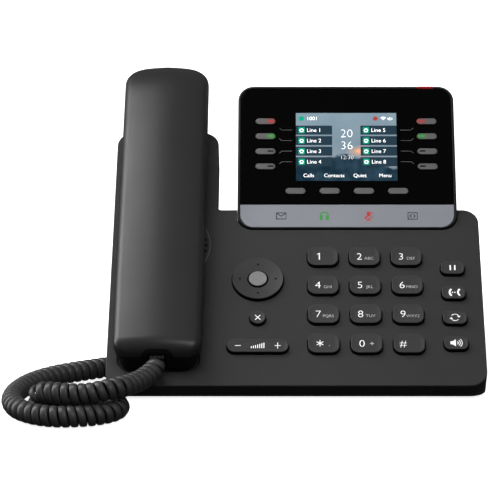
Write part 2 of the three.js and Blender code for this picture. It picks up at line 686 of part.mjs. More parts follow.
function addFeet() {
  const heel = STAND.back - 1;
  const stand = block([-STAND_FOOT.halfWidth, STAND_FOOT.halfWidth], [heel - STAND_FOOT.depth, heel],
    [0, STAND_FOOT.height - GAP]);
  addPiece(desk, 'stand_foot', 'rubber', stand);
  const { halfWidth, front, back, height } = FRONT_FOOT;
  addPiece(desk, 'front_foot', 'rubber', block([-halfWidth, halfWidth], [front, back], [0, height]));
}

// ---------------------------------------------------------------- handset cord

function tube(route, radius, sides, steps) {
  const points = route.map((point) => new THREE.Vector3(...point));
  const extrudePath = new THREE.CatmullRomCurve3(points, false, 'centripetal');
  const section = disc(radius, 0, 0, sides);
  return toManifold(new THREE.ExtrudeGeometry(section, { steps, extrudePath, bevelEnabled: false }));
}

function addCord() {
  const coil = tube(COIL_ROUTE, CORD_RADIUS, 10, 64);
  const lead = tube(LEAD_ROUTE, LEAD_RADIUS, 8, 12);
  addPiece(desk, 'handset_cord', 'cord', coil.add(lead));
  addPiece(body, 'base_plug', 'clear', plugBar(PLUG, BASE_SOCKET.plugEnd, BASE_SOCKET.plugTop));
}

addFrontShell();
addRearShell();
addStand();
addFeet();
addBoards();
addLoudspeaker();
addJacks();
addHingePins();
addBodyKeys();
addHeadHousing();
addScreen();
addHeadKeys();
addHandset();
addHook();
addCord();

export default phone;
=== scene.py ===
"""Desk IP phone: the looks of the phone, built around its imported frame.

Pieces of the body are drawn in the body's own frame and pieces of the screen unit in the screen
unit's: x to the right, y up the slope, z out of the face, in millimetres. Both frames, and the
place and size of every key, come from the CAD nodes. The cord is drawn over the desk.
"""

import json
from functools import partial
from math import atan2, copysign, cos, pi, radians, sin, tan

import bmesh
import bpy
import numpy as np
from mathutils import Matrix, Vector


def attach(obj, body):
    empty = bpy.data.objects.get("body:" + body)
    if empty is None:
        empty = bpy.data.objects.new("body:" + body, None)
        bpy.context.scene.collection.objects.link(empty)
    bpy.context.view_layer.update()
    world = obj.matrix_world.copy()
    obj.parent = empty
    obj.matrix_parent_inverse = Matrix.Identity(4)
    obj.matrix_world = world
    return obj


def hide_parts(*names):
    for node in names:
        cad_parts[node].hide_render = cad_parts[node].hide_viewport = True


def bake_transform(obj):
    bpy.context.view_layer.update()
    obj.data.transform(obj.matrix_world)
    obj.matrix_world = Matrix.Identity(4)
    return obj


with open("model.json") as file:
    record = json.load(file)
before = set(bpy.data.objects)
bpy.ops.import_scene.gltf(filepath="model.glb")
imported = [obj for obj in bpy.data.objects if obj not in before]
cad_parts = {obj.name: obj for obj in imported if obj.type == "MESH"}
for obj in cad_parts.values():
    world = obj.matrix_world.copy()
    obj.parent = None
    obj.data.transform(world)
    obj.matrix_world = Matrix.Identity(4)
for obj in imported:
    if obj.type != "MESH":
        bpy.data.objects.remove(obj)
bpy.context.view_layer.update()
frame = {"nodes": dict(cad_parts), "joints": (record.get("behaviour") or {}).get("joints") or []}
NODES = frame["nodes"]
JOINTS = {joint["name"]: joint for joint in frame["joints"]}

MM = 0.001
CAMERA_PLACE = (-0.00635, -1.37945, 0.40885)
CAMERA_DIP = 13.8  # degrees that it looks down
CAMERA_LENS = 181.8
CAMERA_SHIFT = (-0.0694, -0.0024)
SKY_TONE = 0.14  # of the room above the phone
HORIZON_TONE = 0.4
GROUND_TONE = 0.05
MIDDLE_BACK = 82.5  # middle of the phone's depth behind the face's lower edge
WALL = 2.2
HINGE_BORE = 1.5  # radius
GLASS_INSET = 1.8  # from the edge of the screen unit
GLASS_LEVEL = -0.3
KEY_EDGE = 0.35  # rounding of a key's upper edge
BODY = [  # right, up the slope, corner radius
    (-102.9, 0, 9.5), (102.9, 0, 9.5), (102.9, 121.3, 9),
    (-44.4, 121.3, 2.5), (-44.4, 178.8, 9.5), (-102.9, 178.8, 9.5),
]
PARTING = -8  # between the front and the rear shell
REAR = -24
FACET_START = -10  # the underside facet starts here on the front wall
MICROPHONE = (75.6, -5.7)
SCREWS = [(-92, 24), (92, 24), (-92, 168), (96, 112), (-36, 112)]

RIM = 1.1  # flange that keeps a key behind the face
ROCKING_RIM = 0.9
KEY_PLAY = 0.45
DISH = 0.3  # how deep the top of a key is dished
NAV_DOTS = 9.9  # radius of the ring's four dots
DIAL_LEGENDS = {
    "1": "", "2": "ABC", "3": "DEF",
    "4": "GHI", "5": "JKL", "6": "MNO",
    "7": "PQRS", "8": "TUV", "9": "WXYZ",
    "star": ".", "0": "+", "hash": "",
}
GRILLE = (-73.3, 95.7, 25.3)  # right, up, radius of the rim
GRILLE_RINGS = 6
GRILLE_PITCH = 3.85
GRILLE_HOLE = 0.8

POCKET_FRONT = 106.6
POCKET_UNDERCUT = 2
POCKET_SIDE = 0.15
POCKET_FLOOR = -18.2
POCKET_BACK = 140  # open past the upper edge of the body
POCKET_CORNER = 9.1
HEAD_CORNER = 9
BAR_LOW = 0.6
BAR_HIGH = 14.9
BAR_HALF = 60.5
SCREEN_HALF = 28.8
SCREEN_LOW = 30
SCREEN_HIGH = 73.2
DISPLAY_LEVEL = -0.35
ROW_TOP = 65.1  # the display's rows of line labels
ROW_STEP = 6.75
ROW_HEIGHT = 5.8
ROW_WIDTH = 20.7

HANDSET_X = -74.7
HANDSET_PARTING = 12.6
HANDSET_SIDE = [  # up the slope, out of the face, corner radius
    (9.5, -0.9, 3), (58, -0.9, 5), (72, 7, 8), (146, 7, 8),
    (160, -0.9, 5), (208, -0.9, 8), (219, 6, 6), (218, 13.8, 5),
    (204.5, 20.4, 50), (180, 22.1, 300), (9.5, 21.4, 8),
]
HANDSET_SECTION = [  # across, out of the face, corner radius
    (-21, -2, 2.5), (21, -2, 2.5), (24.3, 12.6, 6), (23.6, 18.4, 4.5),
    (0, 22.6, 95), (-23.6, 18.4, 4.5), (-24.3, 12.6, 6),
]
HANDSET_PLAN = [  # across, up the slope, corner radius
    (-23.9, 9.5, 9), (23.9, 9.5, 9), (24.3, 60, 0), (24.3, 212.9, 13),
    (0, 218.8, 55), (-24.3, 212.9, 13), (-24.3, 60, 0),
]
CRADLES = [(9.2, 60), (158, 208)]
CRADLE_DEPTH = 1.25
ARCH_HALF = 8.2
ARCH_TOP = 18
EARPIECE = 188
MOUTHPIECE = 34

COIL_RADIUS = 5.8  # outer radius of the curly part of the cord
COIL_PITCH = 4.45
COIL_RAMP = 2.0
CABLE_WIDTH = 4.2  # flat cable of the cord
CABLE_THICK = 2.5
LEAD_ROUTE = [  # right, back from the face's lower edge, up from the desk
    (-60, 66.9, 18), (-60, 72, 11.3), (-62.4, 75.6, 6.6), (-66.8, 74, 5), (-71, 68.6, 5.4),
]
COIL_ROUTE = [
    (-78, 61.7, 6), (-84, 57.5, 6), (-96, 51, 6), (-108, 44.5, 6), (-120, 38, 6),
    (-131, 31, 6), (-140.5, 21.5, 6), (-147.3, 9.5, 6), (-150.9, -4, 6), (-150.9, -17, 6),
    (-146.4, -29.5, 6), (-138, -38.3, 6), (-127.5, -43, 6), (-116, -43.2, 6), (-104, -40, 6),
    (-95.6, -33, 6), (-94, -24, 6), (-101, -17.8, 6), (-110.5, -21.2, 6), (-119, -24.4, 6),
    (-127, -24.9, 6), (-133.2, -24.8, 7.3), (-136.2, -26.4, 11), (-133.6, -29.8, 14.7), (-127, -33.6, 15.9),
    (-118, -37, 16.2), (-109, -37.4, 16.6), (-100.5, -35.8, 17.8), (-92.5, -31, 18.2), (-86.5, -22.6, 17.6),
    (-82, -14.8, 17.6), (-77.9, -7.8, 18.8), (-75.2, -3.8, 20.7), (-74.7, -1.6, 22.3),
]

# -------- tilted frames


def points_of(node):
    return np.array([vertex.co for vertex in NODES[node].data.vertices]) / MM


def tilted(slope, plan_node, top_node):
    """The frame of a face at that slope: its origin is the middle of plan_node's lower edge, on a
    level with the top of top_node."""
    turn = Matrix.Rotation(slope, 3, "X")
    plan = points_of(plan_node) @ np.array(turn)
    level = (points_of(top_node) @ np.array(turn))[:, 2].max()
    low, high = plan.min(0), plan.max(0)
    origin = turn @ Vector(((low[0] + high[0]) / 2, low[1], level))
    return Matrix.Translation(origin * MM) @ turn.to_4x4() @ Matrix.Scale(MM, 4)


OUT = Vector(JOINTS["handset_lift"]["axis"])
HEAD_PRESS = Vector(JOINTS["function_bar_press"]["axis"])
SLOPE = atan2(-OUT.y, OUT.z)
FACE = tilted(SLOPE, "front_shell", "front_shell")
HEAD = tilted(atan2(HEAD_PRESS.y, -HEAD_PRESS.z), "head_rear_cover", "head_bezel")
DESK = Matrix.Translation((0, -MIDDLE_BACK * MM, 0)) @ Matrix.Scale(MM, 4)


def span(node, place):
    """Lowest and highest corner of a CAD node in a tilted frame, in millimetres."""
    back = np.array(place.inverted())
    local = (points_of(node) * MM) @ back[:3, :3].T + back[:3, 3]
    return Vector(local.min(0)), Vector(local.max(0))


# -------- camera, lights and floor


def new_object(name, data):
    made = bpy.data.objects.new(name, data)
    bpy.context.scene.collection.objects.link(made)
    return made


def add_camera():
    data = bpy.data.cameras.new("camera")
    data.sensor_width = 36
    data.lens = CAMERA_LENS
    data.shift_x, data.shift_y = CAMERA_SHIFT
    camera = new_object("camera", data)
    camera.location = CAMERA_PLACE
    camera.rotation_euler = (radians(90 - CAMERA_DIP), 0, 0)
    bpy.context.scene.camera = camera


def add_light(name, place, aim, size, watts, mirrored=True):
    """A soft light, which shows in reflections if it is mirrored."""
    data = bpy.data.lights.new(name, "AREA")
    data.shape = "RECTANGLE"
    data.size, data.size_y = size
    data.energy = watts
    light = new_object(name, data)
    light.location = place
    light.visible_glossy = mirrored
    light.rotation_euler = (Vector(aim) - Vector(place)).to_track_quat("-Z", "Y").to_euler()


def add_sky():
    """A dim room, with a bright band round the horizon."""
    world = bpy.data.worlds.new("studio")
    world.use_nodes = True
    _, _, height = axes_of(world, "Generated")
    tones = ramp(world, height, [(0.0, GROUND_TONE), (0.03, HORIZON_TONE), (0.3, SKY_TONE)])
    fill(world, world.node_tree.nodes["Background"].inputs["Color"], tones)
    bpy.context.scene.world = world


def add_studio():
    add_sky()
    bpy.context.scene.view_settings.view_transform = "Standard"
    add_light("key_light", (-0.62, 0.13, 0.88), (-0.07, 0, 0.06), (0.3, 0.8), 6.3)
    add_light("fill_light", (-0.12, -0.3, 0.5), (-0.03, 0, 0.05), (0.25, 0.25), 1.8, mirrored=False)
    add_light("side_light", (-1.1, 0.25, 0.4), (-0.1, 0, 0.06), (0.3, 0.8), 6)
    add_light("front_light", (0.35, -0.9, 0.8), (0, 0, 0.05), (0.3, 0.3), 2.5)
    add_light("back_light", (0.3, 1.2, 0.7), (0, 0, 0.05), (0.8, 0.8), 7, mirrored=False)
    bm = bmesh.new()
    bmesh.ops.create_grid(bm, x_segments=8, y_segments=8, size=3)
    floor = from_bmesh("floor", bm, Matrix.Identity(4), [floor_paper()])
    floor.visible_glossy = False
    floor.visible_diffuse = False


# -------- materials


def fill(made, socket, value):
    """Sets a socket to a number or colour, or links another node's output into it."""
    if isinstance(value, bpy.types.NodeSocket):
        made.node_tree.links.new(value, socket)
    else:
        socket.default_value = value


def feed(made, **values):
    """Fills sockets of a Principled shader by their names."""
    sockets = made.node_tree.nodes["Principled BSDF"].inputs
    for name, value in values.items():
        fill(made, sockets[name.replace("_", " ")], value)


def rgba(color):
    """The value of a colour socket, from (red, green, blue) or from a grey's level."""
    return (*color, 1) if isinstance(color, tuple) else (color, color, color, 1)


def shader(name, color, rough, **values):
    """A Principled material. Further values are set by the names of its sockets."""
    made = bpy.data.materials.new(name)
    made.use_nodes = True
    feed(made, Base_Color=rgba(color), Roughness=rough, **values)
    return made


def add_node(made, kind, **values):
    node = made.node_tree.nodes.new(kind)
    for key, value in values.items():
        setattr(node, key, value)
    return node


def noise(made, scale, detail=3.0):
    """Noise in object space, so that it lies still on a piece that moves."""
    place = add_node(made, "ShaderNodeTexCoord").outputs["Object"]
    texture = add_node(made, "ShaderNodeTexNoise")
    values = {"Vector": place, "Scale": scale, "Detail": detail, "Roughness": 0.55}
    for name, value in values.items():
        fill(made, texture.inputs[name], value)
    return texture.outputs["Fac"]


def ramp(made, factor, stops):
    node = add_node(made, "ShaderNodeValToRGB")
    elements = node.color_ramp.elements
    while len(elements) < len(stops):
        elements.new(0.5)
    for element, (position, color) in zip(elements, stops):
        element.position = position
        element.color = rgba(color)
    fill(made, node.inputs["Fac"], factor)
    return node.outputs["Color"]


def moulded(name, color, rough, grain=0.05, spread=0.05, grain_scale=1700, **values):
    """Moulded plastic: a fine spark-eroded grain, and a faint cloud of gloss and tone."""
    made = shader(name, color, rough, **values)
    darker, lighter = (tuple(part * (1 + side * spread) for part in rgba(color)[:3]) for side in (-1, 1))
    gloss = [(0.3, rough - 0.015), (0.7, rough + 0.015)]
    bump = add_node(made, "ShaderNodeBump")
    bump.inputs["Distance"].default_value = grain * MM
    fill(made, bump.inputs["Height"], noise(made, grain_scale, 2.0))
    shine = ramp(made, noise(made, 60, 2.0), gloss)
    tones = ramp(made, noise(made, 26, 4.0), [(0.3, darker), (0.7, lighter)])
    feed(made, Normal=bump.outputs["Normal"], Roughness=shine, Base_Color=tones)
    return made


def floor_paper():
    made = shader("floor_paper", 0.92, 0.85, Emission_Strength=0.85)
    feed(made, Base_Color=ramp(made, noise(made, 3), [(0, 0.915), (1, 0.925)]))
    return made


def printed(name, color, glow=0.0, **values):
    """Ink of a legend, with the speckle of the grain under it. Its glow is the light of a lamp for lit marks
    and the display, and a painted brightness for the white and soft key legends.
    """
    values.update(Emission_Color=rgba(color), Emission_Strength=glow)
    return moulded(name, color, 0.5, grain=0.01, spread=0.06, grain_scale=1200, **values)


def arithmetic(made, operation, *values):
    """A Math node of numbers and sockets."""
    node = add_node(made, "ShaderNodeMath", operation=operation)
    for socket, value in zip(node.inputs, values):
        fill(made, socket, value)
    return node.outputs["Value"]


def mixed(made, factor, first, second):
    node = add_node(made, "ShaderNodeMix", data_type="RGBA")
    for index, value in ((0, factor), (6, first), (7, second)):
        fill(made, node.inputs[index], value)
    return node.outputs[2]


def axes_of(made, kind):
    """The x, y and z of a texture coordinate."""
    split = add_node(made, "ShaderNodeSeparateXYZ")
    fill(made, split.inputs["Vector"], add_node(made, "ShaderNodeTexCoord").outputs[kind])
    return split.outputs


def glowing_pill(name, color, lit, dark):
    """A pill with its lamp's light painted into its colour, strongest at one end: lit and dark are x in
    metres.
    """
    made = moulded(name, PILL_GREY, 0.42, grain=0.02)
    x, _, _ = axes_of(made, "Object")
    fade = arithmetic(made, "DIVIDE", arithmetic(made, "SUBTRACT", x, lit), dark - lit)
    painted_glow = tuple(0.45 * part + 0.4 * base for part, base in zip(color, PILL_GREY))
    feed(made, Base_Color=ramp(made, fade, [(0.1, painted_glow), (0.55, PILL_GREY)]))
    return made


def display_landscape():
    """The display's picture: an evening sky over a dark mountain, with a low sun."""
    made = shader("display_landscape", (0.1, 0.2, 0.3), 0.3, Emission_Strength=0.6, **UNDER_GLASS)
    calc = partial(arithmetic, made)
    x, _, z = axes_of(made, "Generated")
    evening = [(0.3, (0.17, 0.21, 0.24)), (0.6, (0.13, 0.18, 0.22)), (0.95, (0.14, 0.20, 0.24))]
    cloud = ramp(made, noise(made, 45, 5.0), [(0.4, 0), (0.75, 1)])
    sky = mixed(made, calc("MULTIPLY", cloud, 0.35), ramp(made, z, evening), (0.24, 0.28, 0.30, 1))
    away = calc("ABSOLUTE", calc("SUBTRACT", x, 0.46))
    crag = calc("MULTIPLY_ADD", noise(made, 160, 6.0), 0.16, 0.4)
    ridge = calc("SUBTRACT", crag, calc("MULTIPLY", away, 0.35))
    shade = ramp(made, calc("SUBTRACT", ridge, z), [(0.0, 0), (0.04, 1)])
    rock = ramp(made, noise(made, 110, 5.0), [(0.4, (0.004, 0.016, 0.028)), (0.7, (0.02, 0.045, 0.068))])
    side = calc("POWER", calc("SUBTRACT", x, 0.64), 2)
    rise = calc("POWER", calc("SUBTRACT", z, 0.5), 2)
    near = calc("MULTIPLY", calc("MULTIPLY_ADD", side, 0.3, rise), 170)
    sun = ramp(made, near, [(0.0, 0.9), (0.25, 0.3), (1.0, 0)])
    picture = mixed(made, sun, mixed(made, shade, sky, rock), (0.75, 0.32, 0.14, 1))
    feed(made, Base_Color=picture, Emission_Color=picture)
    return made


PILL_GREY = (0.1, 0.097, 0.097)
GREEN = (0.02, 0.30, 0.03)
RED = (0.42, 0.02, 0.02)
MATTE = {"Specular_IOR_Level": 0.3}
DULL = {"Specular_IOR_Level": 0.15}
UNDER_GLASS = {"Specular_IOR_Level": 0.05}

# painted shade: a darker copy of the body plastic for the front wall and the walls of the openings
WALL_SHADE_PLASTIC = moulded("wall_painted_shade", 0.018, 0.5, grain=0.04, **DULL)
# painted shade: near black on the sides of the keys, for the dark crescents of shadow under them
KEY_SIDE_SHADE = moulded("key_side", 0.004, 0.5, grain=0.04, Specular_IOR_Level=0.07)
BODY_PLASTIC = moulded("body_plastic", 0.026, 0.6, grain=0.06, **MATTE)
HEAD_PLASTIC = moulded("head_plastic", (0.014, 0.014, 0.015), 0.45, grain=0.03, **MATTE)
REAR_PLASTIC = moulded("rear_plastic", (0.014, 0.014, 0.015), 0.55, grain=0.06, **MATTE)
HANDSET_PLASTIC = moulded("handset_plastic", 0.013, 0.38, grain=0.04)
# painted shade: a darker copy of the handset plastic for the inner shell, which sits in shade
HANDSET_SHADED = moulded("handset_painted_shade", 0.006, 0.45, grain=0.05, **DULL)
KEY_PLASTIC = moulded("key_plastic", 0.036, 0.42, grain=0.1, grain_scale=900, **MATTE)
PILL_PLASTIC = moulded("pill_plastic", PILL_GREY, 0.42, grain=0.02)
SILVER_PAINT = moulded("silver_paint", (0.255, 0.265, 0.295), 0.4, grain=0.02, Metallic=0.25)
OK_SATIN = moulded("ok_satin", (0.21, 0.21, 0.215), 0.45, grain=0.2, grain_scale=900, Metallic=0.2)
# black of the glass, and painted shade on the sides of the pills
LENS_AND_SHADE_BLACK = moulded("lens_black_and_painted_shade", 0.001, 0.12, grain=0.001, grain_scale=300, Specular_IOR_Level=0.1)
LAMP_RED = moulded("lamp_red", (0.35, 0.008, 0.01), 0.25, grain=0.01, Transmission_Weight=0.15)
FOOT_RUBBER = moulded("foot_rubber", 0.015, 0.85, grain=0.12, grain_scale=900)
BOARD_GREEN = moulded("board_green", (0.015, 0.09, 0.035), 0.45, grain=0.03, grain_scale=500)
SPEAKER_CONE = moulded("speaker_cone", 0.02, 0.9, grain=0.2, grain_scale=1500)
JACK_TIN = moulded("jack_tin", (0.55, 0.55, 0.56), 0.3, grain=0.02, Metallic=1.0)
SCREW_STEEL = moulded("screw_steel", (0.35, 0.35, 0.36), 0.35, grain=0.03, Metallic=1.0)
# the clear plugs darkened to near black: painted shade where they sit
PLUG_CLEAR_SHADED = moulded("plug_clear_painted_shade", (0.02, 0.021, 0.022), 0.2, grain=0.01, Transmission_Weight=0.6)
CORD_VINYL = moulded("cord_vinyl", 0.03, 0.42, grain=0.03, grain_scale=900)
# the glow of the white and soft legends is a painted brightness
PRINT_WHITE_PAINTED_GLOW = printed("print_white_painted_glow", 0.9, glow=0.25)
PRINT_SOFT_PAINTED_GLOW = printed("print_soft", 0.6, glow=0.1)
# grey print, and the painted highlight on the loudspeaker's raised rim
PRINT_AND_HIGHLIGHT_GREY = printed("print_grey_and_painted_highlight", 0.12)
PRINT_DARK = printed("print_dark", 0.004, **UNDER_GLASS)
PRINT_GREEN = printed("print_green", (0.03, 0.30, 0.05))
PRINT_RED = printed("print_red", (0.55, 0.02, 0.02))
LIT_GREEN = printed("lit_green", GREEN, glow=0.25)
LIT_RED = printed("lit_red", RED, glow=0.15)
DISPLAY_ROW = printed("display_row", (0.012, 0.028, 0.043), glow=0.5, **UNDER_GLASS)
DISPLAY_WHITE = printed("display_white", (0.9, 0.92, 0.93), glow=0.8, **UNDER_GLASS)
DISPLAY_GREEN = printed("display_green", (0.0, 0.25, 0.14), glow=0.6, **UNDER_GLASS)
DISPLAY_PICTURE = display_landscape()


# -------- mesh tools


def mesh_of(bm, name="solid"):
    mesh = bpy.data.meshes.new(name)
    bm.to_mesh(mesh)
    bm.free()
    return mesh


def from_bmesh(name, bm, place, materials):
    """A smooth-shaded object of that mesh, moved from its drawing frame into place."""
    bmesh.ops.remove_doubles(bm, verts=bm.verts, dist=0.002)
    bmesh.ops.recalc_face_normals(bm, faces=bm.faces)
    bm.transform(place)
    mesh = mesh_of(bm, name)
    mesh.shade_smooth()
    mesh.set_sharp_from_angle(angle=radians(42))
    for made in materials:
        mesh.materials.append(made)
    return new_object(name, mesh)


def add_piece(name, bm, place, materials, body, node):
    """A finished piece that takes a CAD node's place. Its flat faces keep flat normals beside
    their rounded edges."""
    piece = from_bmesh(name, bm, place, materials)
    piece.modifiers.new("flat_faces", "WEIGHTED_NORMAL").keep_sharp = True
    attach(piece, body)
    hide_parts(node)


def outline(corners, grow=0.0, fineness=9.0):
    """Points round corners given as (x, y, radius), anticlockwise, moved outwards by grow."""
    places = [Vector(corner[:2]) for corner in corners]
    points = []
    for i, place in enumerate(places):
        arriving = (place - places[i - 1]).normalized()
        leaving = (places[(i + 1) % len(places)] - place).normalized()
        outs = [Vector((way.y, -way.x)) for way in (arriving, leaving)]
        turn = atan2(arriving.cross(leaving), arriving.dot(leaving))
        side = copysign(1, turn)
        corner = place + (outs[0] + outs[1]) * grow / (1 + outs[0].dot(outs[1]))
        radius = max(corners[i][2] + grow * side, 0.02)
        start = corner - arriving * radius * tan(abs(turn) / 2)
        centre = start - outs[0] * radius * side
        steps = max(1, round(abs(turn) / radians(fineness)))
        for k in range(steps + 1):
            arm = Matrix.Rotation(turn * k / steps, 2) @ (start - centre)
            points.append(centre + arm)
    return points


def block(left, low, right, high, radius=0.0):
    """The corners of a rectangle between those sides."""
    return [(left, low, radius), (right, low, radius), (right, high, radius), (left, high, radius)]


def rectangle(width, height, radius, x=0.0, y=0.0):
    a, b = width / 2, height / 2
    return block(x - a, y - b, x + a, y + b, radius)


def circle(radius, x=0.0, y=0.0):
    """A circle as a square whose corners are all rounding."""
    return rectangle(2 * radius, 2 * radius, radius - 0.001, x, y)


def rounded_up(level, radius, steps=4):
    """The profile of an upper edge, as (growth of the outline, level) from the side to the top."""
    angles = [pi / 2 * k / steps for k in range(steps + 1)]
    return [(-radius * (1 - cos(a)), level - radius * (1 - sin(a))) for a in angles]


def rounded_down(level, radius, steps=4):
    return [(grow, 2 * level - up) for grow, up in rounded_up(level, radius, steps)][::-1]


def flared(low, high, radius):
    """The profile of a cutter that leaves a rounded upper edge round its hole."""
    curve = [(-grow, level) for grow, level in rounded_up(high, radius, 3)]
    return [(0, low), *curve, (radius, high + 1)]


def loft(bm, corners, profile):
    """Adds a closed solid: one ring of the outline for each (growth, level) of the profile."""
    rings = []
    for grow, level in profile:
        rings.append([bm.verts.new((*point, level)) for point in outline(corners, grow)])
    bridge(bm, rings)


def lofted(corners, profile):
    bm = bmesh.new()
    loft(bm, corners, profile)
    return bm


def turn_axes(bm, *rows):
    bm.transform(Matrix(rows).to_4x4())
    return bm


def lengthways(bm):
    """Turns a drawing in (x, z) with its thickness along z into one that runs along y."""
    return turn_axes(bm, (1, 0, 0), (0, 0, -1), (0, 1, 0))


def sideways(bm):
    """Turns a drawing in (y, z) with its thickness along z into one that runs along x."""
    return turn_axes(bm, (0, 0, 1), (1, 0, 0), (0, 1, 0))


def combined(bm, others, operation):
    """bm with the other solids cut out, kept or added."""
    objects = []
    for solid in [bm, *others]:
        bmesh.ops.recalc_face_normals(solid, faces=solid.faces)
        objects.append(new_object("solid", mesh_of(solid)))
    for other in objects[1:]:
        step = objects[0].modifiers.new("step", "BOOLEAN")
        step.object = other
        step.operation = operation
        step.solver = "MANIFOLD"
    bpy.context.view_layer.update()
    result = bmesh.new()
    result.from_object(objects[0], bpy.context.evaluated_depsgraph_get())
    for each in objects:
        bpy.data.objects.remove(each)
    return result


def cut(bm, *cutters):
    return combined(bm, cutters, "DIFFERENCE")


def spline(points, spacing):
    """Points that far apart on a smooth curve through the given ones."""
    knots = [Vector(point) for point in points]
    knots = [2 * knots[0] - knots[1], *knots, 2 * knots[-1] - knots[-2]]
    fine = []
    for a, b, c, d in zip(knots, knots[1:], knots[2:], knots[3:]):
        for k in range(24):
            t = k / 24
            bend = (2 * a - 5 * b + 4 * c - d) * t * t + (3 * b - a - 3 * c + d) * t * t * t
            fine.append(b + ((c - a) * t + bend) / 2)
    line = np.array([*fine, knots[-2]])
    along = np.concatenate([[0], np.cumsum(np.linalg.norm(np.diff(line, axis=0), axis=1))])
    count = max(2, round(along[-1] / spacing))
    even = np.linspace(0, along[-1], count + 1)
    return np.column_stack([np.interp(even, along, line[:, i]) for i in range(3)])


def tangents_of(line):
    tangents = np.gradient(line, axis=0)
    return tangents / np.linalg.norm(tangents, axis=1)[:, None]


def carried_frames(line):
    """Two directions across each point of a line, carried along it without twist."""
    across = np.cross(tangents_of(line)[0], (0, 0, 1))
    rows = []
    for tangent in tangents_of(line):
        across = across - tangent * (across @ tangent)
        across /= np.linalg.norm(across)
        rows.append((across, np.cross(tangent, across)))
    return [np.array(part) for part in zip(*rows)]


def swept(bm, centres, wide, thick, directions, sides):
    """An oval tube along the centres. directions are unit vectors across its thickness."""
    rings = []
    for centre, tangent, normal in zip(centres, tangents_of(centres), directions):
        normal = normal - tangent * (normal @ tangent)
        normal /= np.linalg.norm(normal)
        side = np.cross(tangent, normal)
        ring = []
        for i in range(sides):
            c, s = cos(2 * pi * i / sides), sin(2 * pi * i / sides)
            x = copysign(abs(c) ** 0.8, c) * wide / 2
            y = copysign(abs(s) ** 0.8, s) * thick / 2
            ring.append(bm.verts.new(centre + side * x + normal * y))
        rings.append(ring)
    bridge(bm, rings)


def bridge(bm, rings, ends=True):
    """Joins rings of vertices into a tube, with a face across each end."""
    for below, above in zip(rings, rings[1:]):
        for i in range(len(below)):
            j = (i + 1) % len(below)
            bm.faces.new((below[i], below[j], above[j], above[i]))
    if ends:
        bm.faces.new(rings[0][::-1])
        bm.faces.new(rings[-1])


# -------- printed marks


def merge(bm, other, index):
    """Adds another mesh to bm, with that material index."""
    for face in other.faces:
        face.material_index = index
    mesh = mesh_of(other)
    bm.from_mesh(mesh)
    bpy.data.meshes.remove(mesh)


def slab(points, low, high):
    """A flat solid of any closed outline."""
    bm = bmesh.new()
    bridge(bm, [[bm.verts.new((x, y, level)) for x, y in points] for level in (low, high)])
    return bm


def ribbon(points, width):
    """The outline of a stroke of that width along the points."""
    points = [Vector(point) for point in points]
    sides = ([], [])
    for i, point in enumerate(points):
        way = (points[min(i + 1, len(points) - 1)] - points[max(i - 1, 0)]).normalized()
        across = Vector((-way.y, way.x)) * width / 2
        sides[0].append(point - across)
        sides[1].append(point + across)
    return sides[0] + sides[1][::-1]


def arc(x, y, radius, start, end, steps=14):
    angles = [radians(start + (end - start) * k / steps) for k in range(steps + 1)]
    return [(x + radius * cos(a), y + radius * sin(a)) for a in angles]


class Ink:
    """Marks on a flat surface at that level, drawn about (x, y) and just proud of it."""

    def __init__(self, bm, index, x, y, level, depth=0.5, proud=0.02):
        self.bm, self.index, self.x, self.y, self.level = bm, index, x, y, level
        self.low, self.high = level - depth, level + proud

    def beside(self, x, y, index, proud=0.02):
        """The same surface, drawn about a point that far away in the ink of that index."""
        return Ink(self.bm, index, self.x + x, self.y + y, self.level, proud=proud)

    def shape(self, points):
        placed = [(self.x + px, self.y + py) for px, py in points]
        merge(self.bm, slab(placed, self.low, self.high), self.index)

    def bar(self, left, low, right, high):
        self.shape([corner[:2] for corner in block(left, low, right, high)])

    def line(self, points, width):
        self.shape(ribbon(points, width))

    def lines(self, width, *strokes):
        for points in strokes:
            self.line(points, width)

    def disc(self, x, y, radius):
        self.shape(arc(x, y, radius, 0, 330, 11))

    def text(self, text, size, x, y, align="CENTER", wide=1.0, weight=-0.014):
        """Lettering whose baseline is at y, stretched sideways by wide."""
        curve = bpy.data.curves.new("text", "FONT")
        curve.body = text
        curve.size = size
        curve.align_x = align
        curve.extrude = (self.high - self.low) / 2
        curve.offset = weight * size
        curve.resolution_u = 4
        holder = new_object("text", curve)
        bpy.context.view_layer.update()
        evaluated = holder.evaluated_get(bpy.context.evaluated_depsgraph_get())
        bm = bmesh.new()
        bm.from_mesh(evaluated.to_mesh())
        evaluated.to_mesh_clear()
        bpy.data.objects.remove(holder)
        place = Matrix.Translation((self.x + x, self.y + y, (self.low + self.high) / 2))
        bm.transform(place @ Matrix.Diagonal((wide, 1, 1, 1)))
        merge(self.bm, bm, self.index)


def draw_pause(ink):
    ink.lines(0.85, [(-1.25, -1.75), (-1.25, 1.75)], [(1.25, -1.75), (1.25, 1.75)])


def draw_transfer(ink):
    ink.lines(1.0, arc(0.4, 0, 2.7, 125, 235), arc(5.0, 0, 2.7, 125, 235))
    for x in (-0.75, 0.6):
        ink.disc(x, 0, 0.4)


def draw_redial(ink):
    for start in (20, 200):
        ink.line(arc(0, 0, 2.2, start, start + 125), 0.42)
        tip = Vector(arc(0, 0, 2.2, start, start, 1)[0])
        turn = copysign(1, tip.x)
        head = [(-1.0 * turn, 0.2 * turn), (0.1 * turn, -1.0 * turn), (1.0 * turn, 0.3 * turn)]
        ink.shape([tip + Vector(point) for point in head])


def draw_speaker(ink):
    ink.shape([(-3.2, -1), (-2, -1), (-0.3, -2.4), (-0.3, 2.4), (-2, 1), (-3.2, 1)])
    ink.lines(0.42, *[arc(-0.2, 0, radius, -48, 48) for radius in (1.2, 2.3, 3.4)])


def draw_cross(ink):
    ink.lines(0.42, [(-1.45, 1.6), (1.45, -1.6)], [(-1.45, -1.6), (1.45, 1.6)])


